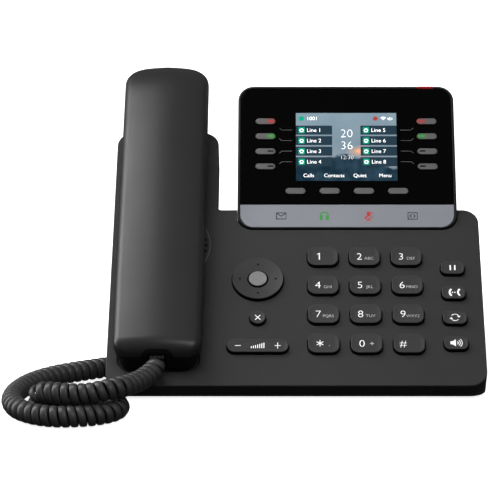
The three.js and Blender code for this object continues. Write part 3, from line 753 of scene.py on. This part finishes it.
def draw_volume(ink):
    ink.lines(0.42, [(-12.4, 0), (-9.2, 0)], [(9.2, 0), (12.4, 0)], [(10.8, -2), (10.8, 2)])
    for i in range(7):
        left = -3.5 + i * 1.14
        ink.line([(left, -1.8), (left, -0.5 + i * 0.38)], 0.48)


def draw_star(ink):
    ink.lines(0.5, *[[(-x, -y), (x, y)] for x, y in ((1.8, 1.05), (0, 2.1), (-1.8, 1.05))])


def draw_one(ink):
    """A figure 1 with its flag, which the font's lacks."""
    ink.line([(0.35, -2.35), (0.35, 2.35)], 0.65)
    ink.line([(0.35, 2.1), (-0.85, 1.3)], 0.5)


def draw_envelope(ink):
    case = [(-2.7, -1.9), (2.7, -1.9), (2.7, 1.9), (-2.7, 1.9), (-2.7, -2.1)]
    ink.lines(0.5, case, [(-2.4, 1.6), (0, -0.2), (2.4, 1.6)])


def draw_headset(ink):
    ink.line(arc(0, 0.2, 2.2, 0, 180), 0.8)
    ink.lines(1.7, [(-1.75, 0.4), (-1.75, -2.5)], [(1.75, 0.4), (1.75, -2.5)])


def draw_muted(ink):
    ink.line([(0, -0.3), (0, 2.6)], 1.9)
    ink.lines(0.5, arc(0, 0.1, 1.9, 180, 360), [(-1.3, -2.7), (1.3, -2.7)])
    ink.lines(0.55, [(0, -1.7), (0, -2.6)], [(-2.3, -1.9), (2.3, 2.2)])


def draw_box(ink):
    ink.line([(-2.6, -2), (2.6, -2), (2.6, 2), (-2.6, 2), (-2.6, -2.2)], 0.5)
    ink.lines(0.5, *[[(0.5 * side, 1), (1.5 * side, 0), (0.5 * side, -1)] for side in (-1, 1)])


# -------- keys of the body

LETTERS_PLACE = {1: (5.0, 2.9, -1.9), 3: (2.75, 2.5, -2.3), 4: (2.6, 2.6, -2.3)}  # size, right, up


def moved(profile, distance):
    """A profile with its outline grown by a distance."""
    return [(grow + distance, level) for grow, level in profile]


def dished(top, edge, depth, reach):
    """The profile of a key's top: a rounded edge, then a dish whose floor starts reach inside it."""
    shares = (0.25, 0.5, 0.75, 1)
    return rounded_up(top, edge) + [(-edge - share * reach, top - depth * share) for share in shares]


def crowned(top, edge, crown, reach):
    """The profile of a key's top: a rounded edge, then a low crown that ends reach inside it."""
    shares = (0.2, 0.45, 0.75, 1)
    slope = [(-edge - share * reach, top - crown * (1 - share) ** 2) for share in shares]
    return rounded_up(top - crown, edge) + slope


def paint_shade_below(bm, level, index):
    """Paints shade: gives the darker finish of that index to all faces below a level."""
    for face in bm.faces:
        if face.calc_center_median().z < level:
            face.material_index = index


def middle_of(node, place):
    low, high = span(node, place)
    return (low.x + high.x) / 2, (low.y + high.y) / 2


def footprint(node, place, radius, grow=0.0):
    """The rectangle that a CAD node fills in a tilted frame, grown on every side."""
    low, high = span(node, place)
    width, height = high.x - low.x + 2 * grow, high.y - low.y + 2 * grow
    return rectangle(width, height, radius, *middle_of(node, place))


def add_cap(node, radius, flange, draw):
    """A key of the body: its cap, the flange that keeps it in, and its mark."""
    low, high = span(node, FACE)
    top = high.z
    reach = min(2.4, (high.y - low.y) / 2 - flange - 2.7)
    stem = [(flange, low.z), (flange, low.z + 0.7), (0, low.z + 0.7)]
    bm = lofted(footprint(node, FACE, radius, -flange), [*stem, *dished(top, KEY_EDGE, DISH, reach)])
    # painted shade on the cap's sides
    paint_shade_below(bm, top - 0.5, 2)
    draw(Ink(bm, 1, *middle_of(node, FACE), top - DISH))
    finishes = [KEY_PLASTIC, PRINT_WHITE_PAINTED_GLOW, KEY_SIDE_SHADE, PRINT_SOFT_PAINTED_GLOW]
    add_piece(f"{node}_cap", bm, FACE, finishes, node, node)


def draw_dial(label, ink):
    letters = DIAL_LEGENDS[label]
    if label == "1":
        draw_one(ink.beside(-2.3, 0, 1))
    elif label == "star":
        draw_star(ink.beside(-2.1, 0, 1))
    else:
        x = {"0": -2.5, "hash": -3.4}.get(label, -2.9)
        ink.text({"hash": "#"}.get(label, label), 6.6, x, -2.35, wide=1.05)
    if letters:
        ink.beside(0, 0, 3).text(letters, *LETTERS_PLACE[len(letters)])
    if label == "5":
        ink.beside(0, -4.6, 0, proud=0.3).line([(-1.3, 0), (1.3, 0)], 0.5)


CAPS = {f"key_{label}": (4.4, RIM, partial(draw_dial, label)) for label in DIAL_LEGENDS}
CAPS |= {  # corner radius, flange, mark
    "hold_key": (3.2, RIM, draw_pause),
    "transfer_key": (3.2, RIM, draw_transfer),
    "redial_key": (3.2, RIM, draw_redial),
    "speaker_key": (3.2, RIM, draw_speaker),
    "cancel_key": (4.29, RIM, draw_cross),
    "volume_rocker": (4.2, ROCKING_RIM, draw_volume),
}


def add_body_keys():
    for node, (radius, flange, draw) in CAPS.items():
        add_cap(node, radius, flange, draw)


def lathed(profile, x, y, sides=72):
    """A ring turned round an upright line at (x, y), from (radius, level) points that close."""
    bm = bmesh.new()
    rings = []
    for radius, level in profile:
        points = arc(x, y, radius, 0, 360, sides)[:-1]
        rings.append([bm.verts.new((*point, level)) for point in points])
    bridge(bm, [*rings, rings[0]], ends=False)
    return bm


def add_navigation():
    low, high = span("nav_ring", FACE)
    ok_low, ok_high = span("ok_key", FACE)
    x, y = middle_of("nav_ring", FACE)
    top, ok_top = high.z, ok_high.z
    wide = (high.x - low.x) / 2
    outer = wide - ROCKING_RIM
    button = (ok_high.x - ok_low.x) / 2
    inner = button + 0.45
    flange = [(inner, low.z), (wide, low.z), (wide, low.z + 0.6), (outer, low.z + 0.6)]
    edge = moved(rounded_up(top, 0.3), outer)
    dish = [(outer - reach, top - depth) for reach, depth in ((1.6, 0.25), (3.2, 0.5), (5.5, 0.8))]
    ring = lathed([*flange, *edge, *dish, (inner + 0.4, top - 1.1), (inner, top - 1.6)], x, y)
    # painted shade on the ring's sides and the deep inside of its dish
    paint_shade_below(ring, top - 1.2, 2)
    for spot in arc(0, 0, NAV_DOTS, 0, 270, 3):
        Ink(ring, 1, x, y, top - 0.5, proud=0.1).disc(*spot, 0.6)
    finishes = [KEY_PLASTIC, PRINT_DARK, KEY_SIDE_SHADE]
    add_piece("nav_ring_cap", ring, FACE, finishes, "nav_ring", "nav_ring")
    profile = [(0, ok_low.z), *rounded_up(ok_top, 0.4), (-1.6, ok_top - 0.08), (-3.2, ok_top - 0.16)]
    ok = lofted(circle(button, x, y), profile)
    # painted shade on the OK key's sides
    paint_shade_below(ok, ok_top - 0.35, 1)
    add_piece("ok_key_cap", ok, FACE, [OK_SATIN, KEY_SIDE_SHADE], "ok_key", "ok_key")


# -------- body shells


def key_holes():
    """Cutters for every key's aperture, with its upper edge rounded over."""
    bm = bmesh.new()
    profile = moved(flared(-6, 0, 0.3), KEY_PLAY)
    for node, (radius, flange, _) in CAPS.items():
        loft(bm, footprint(node, FACE, radius, -flange), profile)
    low, high = span("nav_ring", FACE)
    loft(bm, circle((high.x - low.x) / 2 - ROCKING_RIM, *middle_of("nav_ring", FACE)), profile)
    return bm


def grille_holes():
    x, y, _ = GRILLE
    bm = bmesh.new()
    for ring in range(GRILLE_RINGS + 1):
        for centre in arc(x, y, ring * GRILLE_PITCH, 0, 360, max(1, 6 * ring))[:-1]:
            spot = arc(*centre, GRILLE_HOLE, 0, 330, 11)
            bridge(bm, [[bm.verts.new((*point, level)) for point in spot] for level in (-4, 2)])
    return bm


def grille_rim():
    """A fine raised ring round the loudspeaker's holes."""
    x, y, radius = GRILLE
    inner, outer = radius - 0.2, radius + 0.2
    return lathed([(inner, -0.4), (inner, 0.15), (outer, 0.15), (outer, -0.4)], x, y)


def pocket(grow, floor):
    """The space for the screen unit's lower edge, wider under the face for its knuckles."""
    low, high = span("head_bezel", FACE)
    left, right = low.x - POCKET_SIDE, high.x + POCKET_SIDE
    front = block(left, POCKET_FRONT, right, POCKET_BACK)
    front[:2] = [(x, y, POCKET_CORNER) for x, y, _ in front[:2]]
    upper = lofted(front, moved([(0, -WALL - 0.1), (0, -0.1), (0.1, 0), (0.1, 9)], grow))
    under = block(left, POCKET_FRONT - POCKET_UNDERCUT, right, POCKET_BACK)
    lower = lofted(under, [(grow, floor - grow), (grow, -WALL)])
    return combined(upper, [lower], "UNION")


def hinge_rods(place, radius, inner, outer):
    """A rod at each end of the hinge axis, between those distances from its middle."""
    left, right = span("hinge_pin_left", place), span("hinge_pin_right", place)
    y, z = (right[0].y + right[1].y) / 2, (right[0].z + right[1].z) / 2
    middle = (left[0].x + right[1].x) / 2
    bm = bmesh.new()
    for side in (-1, 1):
        ends = sorted((middle + side * inner, middle + side * outer))
        loft(bm, circle(radius, y, z), [(0, ends[0]), (0, ends[1])])
    return sideways(bm)


def cradle_recesses():
    bm = bmesh.new()
    for low, high in CRADLES:
        corners = rectangle(44.6, high - low, 8, HANDSET_X, (low + high) / 2)
        floor = -CRADLE_DEPTH
        sides = [(-0.6, floor), (-0.2, floor + 0.1), (0, floor + 0.45), (0.05, -0.3), (0.3, 0), (0.3, 2)]
        loft(bm, corners, sides)
    return bm


def add_front_shell():
    outer = [(-0.3, PARTING), (0, PARTING + 0.3), *rounded_up(0, 0.6)]
    shell = cut(lofted(BODY, outer), lofted(BODY, [(-WALL, PARTING - 1), (-WALL, -WALL)]))
    lining = combined(pocket(WALL, -30), [hinge_rods(FACE, 3.4, 61, 68.5)], "UNION")
    lining = combined(lining, [lofted(BODY, outer)], "INTERSECT")
    shell = combined(shell, [lining], "UNION")
    hook = middle_of("hook_plunger", FACE)
    slot = lofted(rectangle(9.8, 5.8, 1.2, *hook), flared(-6, -CRADLE_DEPTH, 0.3))
    microphone = lengthways(lofted(circle(0.8, *MICROPHONE), [(0, -4), (0, 4)]))
    shell = cut(
        shell,
        pocket(0, -30),
        hinge_rods(FACE, HINGE_BORE, 61, 67),
        key_holes(),
        cradle_recesses(),
        slot,
        grille_holes(),
        microphone,
    )
    # painted shade on the front wall, the walls of the openings and the floors of the recesses
    paint_shade_below(shell, -0.5, 1)
    # the pale rim is a painted highlight
    merge(shell, grille_rim(), 2)
    finishes = [BODY_PLASTIC, WALL_SHADE_PLASTIC, PRINT_AND_HIGHLIGHT_GREY]
    add_piece("front_cover", shell, FACE, finishes, "base", "front_shell")


def desk_facet(depth):
    """The wedge under the body that is cut away parallel to the desk."""
    along = Vector((cos(SLOPE), -sin(SLOPE)))
    lift = Vector((sin(SLOPE), cos(SLOPE))) * depth + Vector((0, FACET_START))
    near, far = along * -10 + lift, along * 60 + lift
    corners = [(near.x, far.y, 0), (far.x, far.y, 0), (near.x, near.y, 0)]
    return sideways(lofted(corners, [(0, -130), (0, 130)]))


def rear_openings():
    bm = bmesh.new()
    for node in ("network_jack", "handset_jack"):
        loft(bm, footprint(node, FACE, 0.4, 0.3), [(0, -40), (0, REAR + 12)])
    return bm


def rear_marks():
    """Shallow louvres and the wells of the screws."""
    bm = bmesh.new()
    for i in range(9):
        loft(bm, rectangle(2.2, 26, 1.09, 66 + i * 3.8, 46), [(0, REAR - 2), (0, REAR + 1.2)])
        loft(bm, rectangle(2.2, 26, 1.09, -95 + i * 5.2, 142), [(0, REAR - 2), (0, REAR + 1.2)])
    for x, y in SCREWS:
        loft(bm, circle(3.4, x, y), [(0, REAR - 2), (0, REAR + 1.4)])
    return bm


def screw_head(x, y):
    head = lofted(circle(2.6, x, y), [(-0.5, REAR + 0.3), (0, REAR + 0.7), (0, REAR + 1.6)])
    arm, half = 1.5, 0.35
    cross = [
        (half, half), (half, arm), (-half, arm), (-half, half), (-arm, half), (-arm, -half),
        (-half, -half), (-half, -arm), (half, -arm), (half, -half), (arm, -half), (arm, half),
    ]
    return cut(head, slab([(x + px, y + py) for px, py in cross], REAR - 1, REAR + 0.9))


def add_rear_shell():
    top = PARTING - 0.3
    outer = [*rounded_down(REAR, 1.6), (0, top - 0.3), (-0.3, top)]
    body = cut(lofted(BODY, outer), desk_facet(0))
    hollow = cut(lofted(BODY, [(-WALL, REAR + WALL), (-WALL, 2)]), desk_facet(WALL))
    lining = combined(pocket(WALL, POCKET_FLOOR), [body.copy()], "INTERSECT")
    shell = combined(cut(body, hollow), [lining], "UNION")
    shell = cut(shell, pocket(0, POCKET_FLOOR), rear_openings(), rear_marks())
    for x, y in SCREWS:
        merge(shell, screw_head(x, y), 1)
    finishes = [REAR_PLASTIC, SCREW_STEEL]
    add_piece("rear_cover", shell, FACE, finishes, "base", "rear_shell")


# -------- screen unit


def head_corners():
    low, high = span("head_bezel", HEAD)
    return rectangle(high.x - low.x, high.y, HEAD_CORNER, 0, high.y / 2)


def bar_corners():
    a = BAR_HALF
    return [(-a, BAR_LOW, 8), (a, BAR_LOW, 8), (a, BAR_HIGH, 0.4), (-a, BAR_HIGH, 0.4)]


def head_keys():
    """The centre of each line and soft key."""
    nodes = [f"line_key_{side}_{i}" for side in ("left", "right") for i in range(1, 5)]
    nodes += [f"soft_key_{i}" for i in range(1, 5)]
    return {node: middle_of(node, HEAD) for node in nodes}


def add_bezel():
    outer = [(-0.2, -8.5), (0, -8.3), *rounded_up(0, 0.8)]
    low, high = span("message_lamp", HEAD)
    notch = rectangle(high.x - low.x + 0.1, 4, 0.2, (low.x + high.x) / 2, high.y + 0.4)
    ring = cut(
        lofted(head_corners(), outer),
        lofted(head_corners(), [(-1.5, -2.3), (-1.5, -0.4), (-1.25, 0), (-1.25, 1)]),
        lofted(bar_corners(), [(0, -2.9), (0, 1)]),
        lofted(head_corners(), [(-3.6, -9), (-3.6, 1)]),
        lofted(notch, [(0, -5.2), (0, 1)]),
    )
    ring = combined(ring, [hinge_rods(HEAD, 2.7, 54, 62)], "UNION")
    ring = cut(ring, hinge_rods(HEAD, HINGE_BORE, 55.5, 63))
    add_piece("screen_bezel", ring, HEAD, [HEAD_PLASTIC], "head", "head_bezel")


def add_head_cover():
    low, high = span("head_rear_cover", HEAD)
    outer = lofted(head_corners(), [*rounded_down(low.z, 3.2, 6), (0, high.z - 0.2), (-0.2, high.z)])
    inner = lofted(head_corners(), [(-WALL - 1, low.z + WALL), (-WALL, low.z + WALL + 2), (-WALL, 2)])
    marks = bmesh.new()
    for i in range(12):
        loft(marks, rectangle(2, 15, 0.99, -22 + i * 4, 68), [(0, low.z - 2), (0, low.z + 1.1)])
    loft(marks, rectangle(46, 22, 1.5, 0, 34), [(0, low.z - 2), (0, low.z + 0.35)])
    for side in (-1, 1):
        for y in (16, 78):
            loft(marks, circle(3, side * 50, y), [(0, low.z - 2), (0, low.z + 1.4)])
    shell = cut(outer, inner, marks, hinge_rods(HEAD, 3, 53.6, 70))
    add_piece("screen_rear_cover", shell, HEAD, [REAR_PLASTIC], "head", "head_rear_cover")


def add_lens():
    edge = [(-0.2, -2), (0, -1.8), *rounded_up(GLASS_LEVEL, 0.25)]
    plate = lofted(head_corners(), moved(edge, -GLASS_INSET))
    top = BAR_HIGH + 0.3
    below = lofted(block(-70, -5, 70, top), [(0, -4), (0, 2)])
    half = SCREEN_HALF + 0.3
    opening = block(-half, SCREEN_LOW - 0.3, half, SCREEN_HIGH + 0.3, 0.3)
    window = lofted(opening, [(0, -4), (0, 2)])
    holes = bmesh.new()
    for x, y in head_keys().values():
        loft(holes, rectangle(12.1, 4.6, 2.29, x, y), [(0, -3), (0, 1)])
    lens = cut(plate, below, window, holes)
    ink = Ink(lens, 1, 0, 0, GLASS_LEVEL, depth=0.1)
    for i in range(4):
        row = ROW_TOP - ROW_HEIGHT / 2 - i * ROW_STEP
        bend = copysign(1.3, head_keys()[f"line_key_left_{i + 1}"][1] - row)
        for side in (-1, 1):
            ink.line([(side * 31, row), (side * 36.9, row), (side * 38.3, row + bend)], 0.22)
    add_piece("screen_glass", lens, HEAD, [LENS_AND_SHADE_BLACK, PRINT_AND_HIGHLIGHT_GREY], "head", "screen_lens")


def add_pills():
    lamps = {"1": ("red", RED, LIT_RED), "2": ("green", GREEN, LIT_GREEN)}
    for node, (x, y) in head_keys().items():
        low, high = span(node, HEAD)
        profile = moved([(0, low.z), *crowned(high.z, 0.4, 0.12, 1.2)], -0.2)
        bm = lofted(footprint(node, HEAD, 2.08), profile)
        # painted shade on the pill's sides
        paint_shade_below(bm, high.z - 0.4, 2)
        inward = copysign(1, -x)
        finishes = [PILL_PLASTIC, PRINT_DARK, LENS_AND_SHADE_BLACK]
        if node.startswith("line"):
            Ink(bm, 1, x, y, high.z).line([(inward * 1.2, 0), (inward * 4.5, 0)], 0.9)
            if node[-1] in lamps:
                word, color, light = lamps[node[-1]]
                middle = (HEAD @ Vector((x, y, 0))).x
                reach = inward * (high.x - low.x) / 2 * MM
                name = f"pill_{word}_{'left' if x < 0 else 'right'}"
                finishes[:2] = [glowing_pill(name, color, middle + reach, middle - reach), light]
        add_piece(f"{node}_cap", bm, HEAD, finishes, node, node)


def add_function_bar():
    low, high = span("function_bar", HEAD)
    bm = lofted(bar_corners(), moved([(0, low.z), *rounded_up(high.z, 0.2)], -0.15))
    marks = [(-37.2, draw_envelope, 1), (-12.9, draw_headset, 2), (12.0, draw_muted, 3), (36.9, draw_box, 1)]
    for x, draw, index in marks:
        draw(Ink(bm, index, x, 7.7, high.z))
    finishes = [SILVER_PAINT, PRINT_DARK, PRINT_GREEN, PRINT_RED]
    add_piece("function_bar_cap", bm, HEAD, finishes, "function_bar", "function_bar")


def add_lamp():
    low, high = span("message_lamp", HEAD)
    profile = [(-0.15, low.z), (0, low.z + 0.15), *rounded_up(high.z, 0.35)]
    bm = lofted(footprint("message_lamp", HEAD, 0.5), profile)
    add_piece("message_lamp_window", bm, HEAD, [LAMP_RED], "head", "message_lamp")


def draw_line_labels(rows, white, green):
    for i in range(4):
        y = ROW_TOP - i * ROW_STEP
        for left, number in ((-SCREEN_HALF, i + 1), (SCREEN_HALF - ROW_WIDTH, i + 5)):
            rows.bar(left, y - ROW_HEIGHT, left + ROW_WIDTH, y)
            middle = y - ROW_HEIGHT / 2
            corners = rectangle(3.6, 3.9, 0.4, left + 3.2, middle)
            green.shape(outline(corners))
            white.line(arc(left + 3.2, middle - 0.2, 1, 190, -10), 0.5)
            white.line([(left + 2.3, middle - 0.9), (left + 4.1, middle - 0.9)], 0.6)
            white.text(f"Line {number}", 3.4, left + 6.1, middle - 1.15, "LEFT", weight=0.0)


def add_display():
    level = DISPLAY_LEVEL
    corners = block(-SCREEN_HALF, SCREEN_LOW, SCREEN_HALF, SCREEN_HIGH, 0.1)
    bm = lofted(corners, [(0, -2.5), (0, level)])
    merge(bm, lofted(corners, moved([(-0.3, -5.4), (0, -5.1), (0, -2.9), (-0.3, -2.6)], 3)), 1)
    rows = Ink(bm, 2, 0, 0, level, depth=0.1, proud=0.01)
    white = Ink(bm, 3, 0, 0, level, depth=0.1, proud=0.03)
    green = Ink(bm, 4, 0, 0, level, depth=0.1)
    red = Ink(bm, 5, 0, 0, level, depth=0.1)
    draw_line_labels(rows, white, green)
    green.bar(-27, 68.3, -24.3, 71)
    white.text("1001", 3.3, -22.8, 68.6, "LEFT", weight=0.0)
    red.disc(16.8, 69.6, 1.4)
    white.lines(0.45, *[arc(21.3, 68.5, radius, 45, 135) for radius in (0.5, 1.3, 2.1)])
    white.shape([(23.9, 69), (24.5, 69), (25.4, 68.3), (25.4, 70.7), (24.5, 70), (23.9, 70)])
    white.line(arc(25.5, 69.5, 0.9, -50, 50), 0.35)
    for text, size, y in (("20", 7.4, 57.6), ("36", 7.4, 49.9), ("12/30", 3.4, 43.6)):
        white.text(text, size, 0.2, y, weight=-0.025)
    for x, label in ((-21.6, "Calls"), (-7.1, "Contacts"), (7.5, "Quiet"), (21.9, "Menu")):
        white.text(label, 3.2, x, 32.2, weight=0.0)
    finishes = [DISPLAY_PICTURE, PRINT_DARK, DISPLAY_ROW, DISPLAY_WHITE, DISPLAY_GREEN, LIT_RED]
    add_piece("display_panel", bm, HEAD, finishes, "head", "lcd_module")


# -------- handset


def crossing(points, at):
    """Lowest and highest y where a closed outline crosses x = at."""
    found = []
    for a, b in zip(points, points[1:] + points[:1]):
        if (a.x - at) * (b.x - at) <= 0 and abs(a.x - b.x) > 1e-9:
            found.append(a.y + (b.y - a.y) * (at - a.x) / (b.x - a.x))
    return min(found), max(found)


def handset_stations(start, end):
    """Places along the handset, close together at its rounded ends."""
    near, far = start + 14, end - 30
    first = near - 14 * np.cos(np.linspace(0, pi / 2, 20, endpoint=False))
    last = far + 30 * np.sin(np.linspace(0, pi / 2, 41))
    return [*first, *np.linspace(near, far, 60, endpoint=False), *last]


def handset_form(shrink=0.0):
    """The whole handset as one smooth loft along its length, widest at the parting."""
    side = outline(HANDSET_SIDE, -shrink, 4)
    plan = [point.yx for point in outline(HANDSET_PLAN, -shrink, 3)]
    section = outline(HANDSET_SECTION, 0, 6)
    wide = max(point.x for point in section)
    low, high = min(point.y for point in section), max(point.y for point in section)
    start = min(point.x for point in side) + 0.01
    end = min(max(point.x for point in side), max(point.x for point in plan)) - 0.02
    bm = bmesh.new()
    rings = []
    for y in handset_stations(start, end):
        bottom, top = crossing(side, y)
        scale = crossing(plan, y)[1] / wide
        margin = (top - bottom) / 10
        split = min(max(HANDSET_PARTING, bottom + margin), top - margin)
        ring = []
        for point in section:
            level = np.interp(point.y, (low, HANDSET_PARTING, high), (bottom, split, top))
            ring.append(bm.verts.new((HANDSET_X + point.x * scale, y, level)))
        rings.append(ring)
    bridge(bm, rings)
    return bm


def layer(low, high):
    """A block round the whole handset between two levels."""
    return lofted(block(-140, -20, -20, 260), [(0, low), (0, high)])


def jack_arch(grow):
    """The part of the inner shell that rises round the handset's jack."""
    side, top = ARCH_HALF + grow, ARCH_TOP + grow
    corners = block(HANDSET_X - side, -30, HANDSET_X + side, top)
    corners[2:] = [(x, y, 5) for x, y, _ in corners[2:]]
    return lengthways(lofted(corners, [(0, -23.5 - grow), (0, 5)]))


def sound_holes():
    bm = bmesh.new()
    for y, reach, count in ((EARPIECE, 6, 7), (MOUTHPIECE, 2.4, 3)):
        for centre in arc(HANDSET_X, y, reach, 0, 360, count)[:-1]:
            loft(bm, circle(0.9, *centre), [(0, -5), (0, 2)])
    return bm


def plug_hole():
    low, high = span("handset_plug", FACE)
    middle = ((low.x + high.x) / 2, (low.z + high.z) / 2)
    corners = rectangle(high.x - low.x + 0.6, high.z - low.z + 0.6, 0.4, *middle)
    return lengthways(lofted(corners, [(0, -22), (0, -10.2), (0.5, -9), (0.5, 5)]))


def add_handset():
    low, high = HANDSET_PARTING - 0.15, HANDSET_PARTING + 0.15
    outer = combined(handset_form(), [layer(high, 60)], "INTERSECT")
    outer = cut(outer, jack_arch(0.3))
    inner = combined(handset_form(), [layer(-60, low)], "INTERSECT")
    step = combined(handset_form(0.6), [layer(low - 1, high + 0.4)], "INTERSECT")
    tongue = combined(handset_form(), [jack_arch(0)], "INTERSECT")
    inner = cut(combined(inner, [step, tongue], "UNION"), plug_hole(), sound_holes())
    # the inner shell's darker finish is painted shade
    shells = {"outer": ("back", outer, HANDSET_PLASTIC), "inner": ("inside", inner, HANDSET_SHADED)}
    for shell, (name, bm, finish) in shells.items():
        node = f"handset_{shell}_shell"
        add_piece(f"handset_{name}", bm, FACE, [finish], "handset", node)


def add_hook():
    low, high = span("hook_plunger", FACE)
    stem = [(1.2, low.z), (1.2, low.z + 1), (0, low.z + 1)]
    bm = lofted(rectangle(9, 5, 0.8, *middle_of("hook_plunger", FACE)), [*stem, *rounded_up(high.z, 0.5)])
    add_piece("hook_tab", bm, FACE, [KEY_PLASTIC], "hook_plunger", "hook_plunger")


# -------- CAD pieces that are kept

KEPT = [  # finish, width of the worked edges, nodes
    (REAR_PLASTIC, 0.6, ["desk_stand"]),
    (REAR_PLASTIC, 0.2, ["handset_jack"]),
    (FOOT_RUBBER, 0.4, ["stand_foot"]),
    (FOOT_RUBBER, 0.3, ["front_foot"]),
    (FOOT_RUBBER, 0.2, ["keymat"]),
    (BOARD_GREEN, 0.1, ["main_board", "head_board"]),
    (SPEAKER_CONE, 0.2, ["loudspeaker", "receiver"]),
    (JACK_TIN, 0.2, ["network_jack"]),
    (SCREW_STEEL, 0.2, ["hinge_pin_left", "hinge_pin_right", "base_microphone", "handset_microphone"]),
    (PLUG_CLEAR_SHADED, 0.3, ["base_plug", "handset_plug"]),
]


def finish_kept():
    for finish, edge, nodes in KEPT:
        for piece in (NODES[node] for node in nodes):
            piece.data.materials.clear()
            piece.data.materials.append(finish)
            bevel = piece.modifiers.new("edges", "BEVEL")
            bevel.width = edge * MM
            bevel.segments = 2
            bevel.limit_method = "ANGLE"
            bevel.angle_limit = radians(35)


# -------- handset cord


def wound(line, start, end, step):
    """Centres and outward directions of a cable that is wound round a line between two lengths."""
    across, up = carried_frames(line)
    along = np.arange(len(line)) * step
    inside = np.clip(np.minimum(along - start, end - along), 0, COIL_RAMP) / COIL_RAMP
    radius = (COIL_RADIUS - CABLE_THICK / 2) * inside * inside * (3 - 2 * inside)
    angle = 2 * pi * (np.clip(along, start, end) - start) / COIL_PITCH
    outward = across * np.cos(angle)[:, None] + up * np.sin(angle)[:, None]
    return line + outward * radius[:, None], outward


def add_cord():
    step = COIL_PITCH / 24
    low, high = span("handset_plug", DESK)
    plug = Vector(((low.x + high.x) / 2, low.y + 5.5, low.z + 4.2))
    line = spline([*LEAD_ROUTE, *COIL_ROUTE, plug], step)
    distance = np.linalg.norm(line - np.array(COIL_ROUTE[0]), axis=1)
    start = distance.argmin() * step
    centres, outward = wound(line, start, (len(line) - 1) * step - 5.5, step)
    bm = bmesh.new()
    swept(bm, centres, CABLE_WIDTH, CABLE_THICK, outward, 12)
    cord = from_bmesh("curly_cord", bm, DESK, [CORD_VINYL])
    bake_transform(cord)
    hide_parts("handset_cord")


add_camera()
add_cord()
add_front_shell()
add_rear_shell()
add_body_keys()
add_navigation()
add_bezel()
add_head_cover()
add_lens()
add_pills()
add_function_bar()
add_lamp()
add_display()
add_handset()
add_hook()
finish_kept()
add_studio()
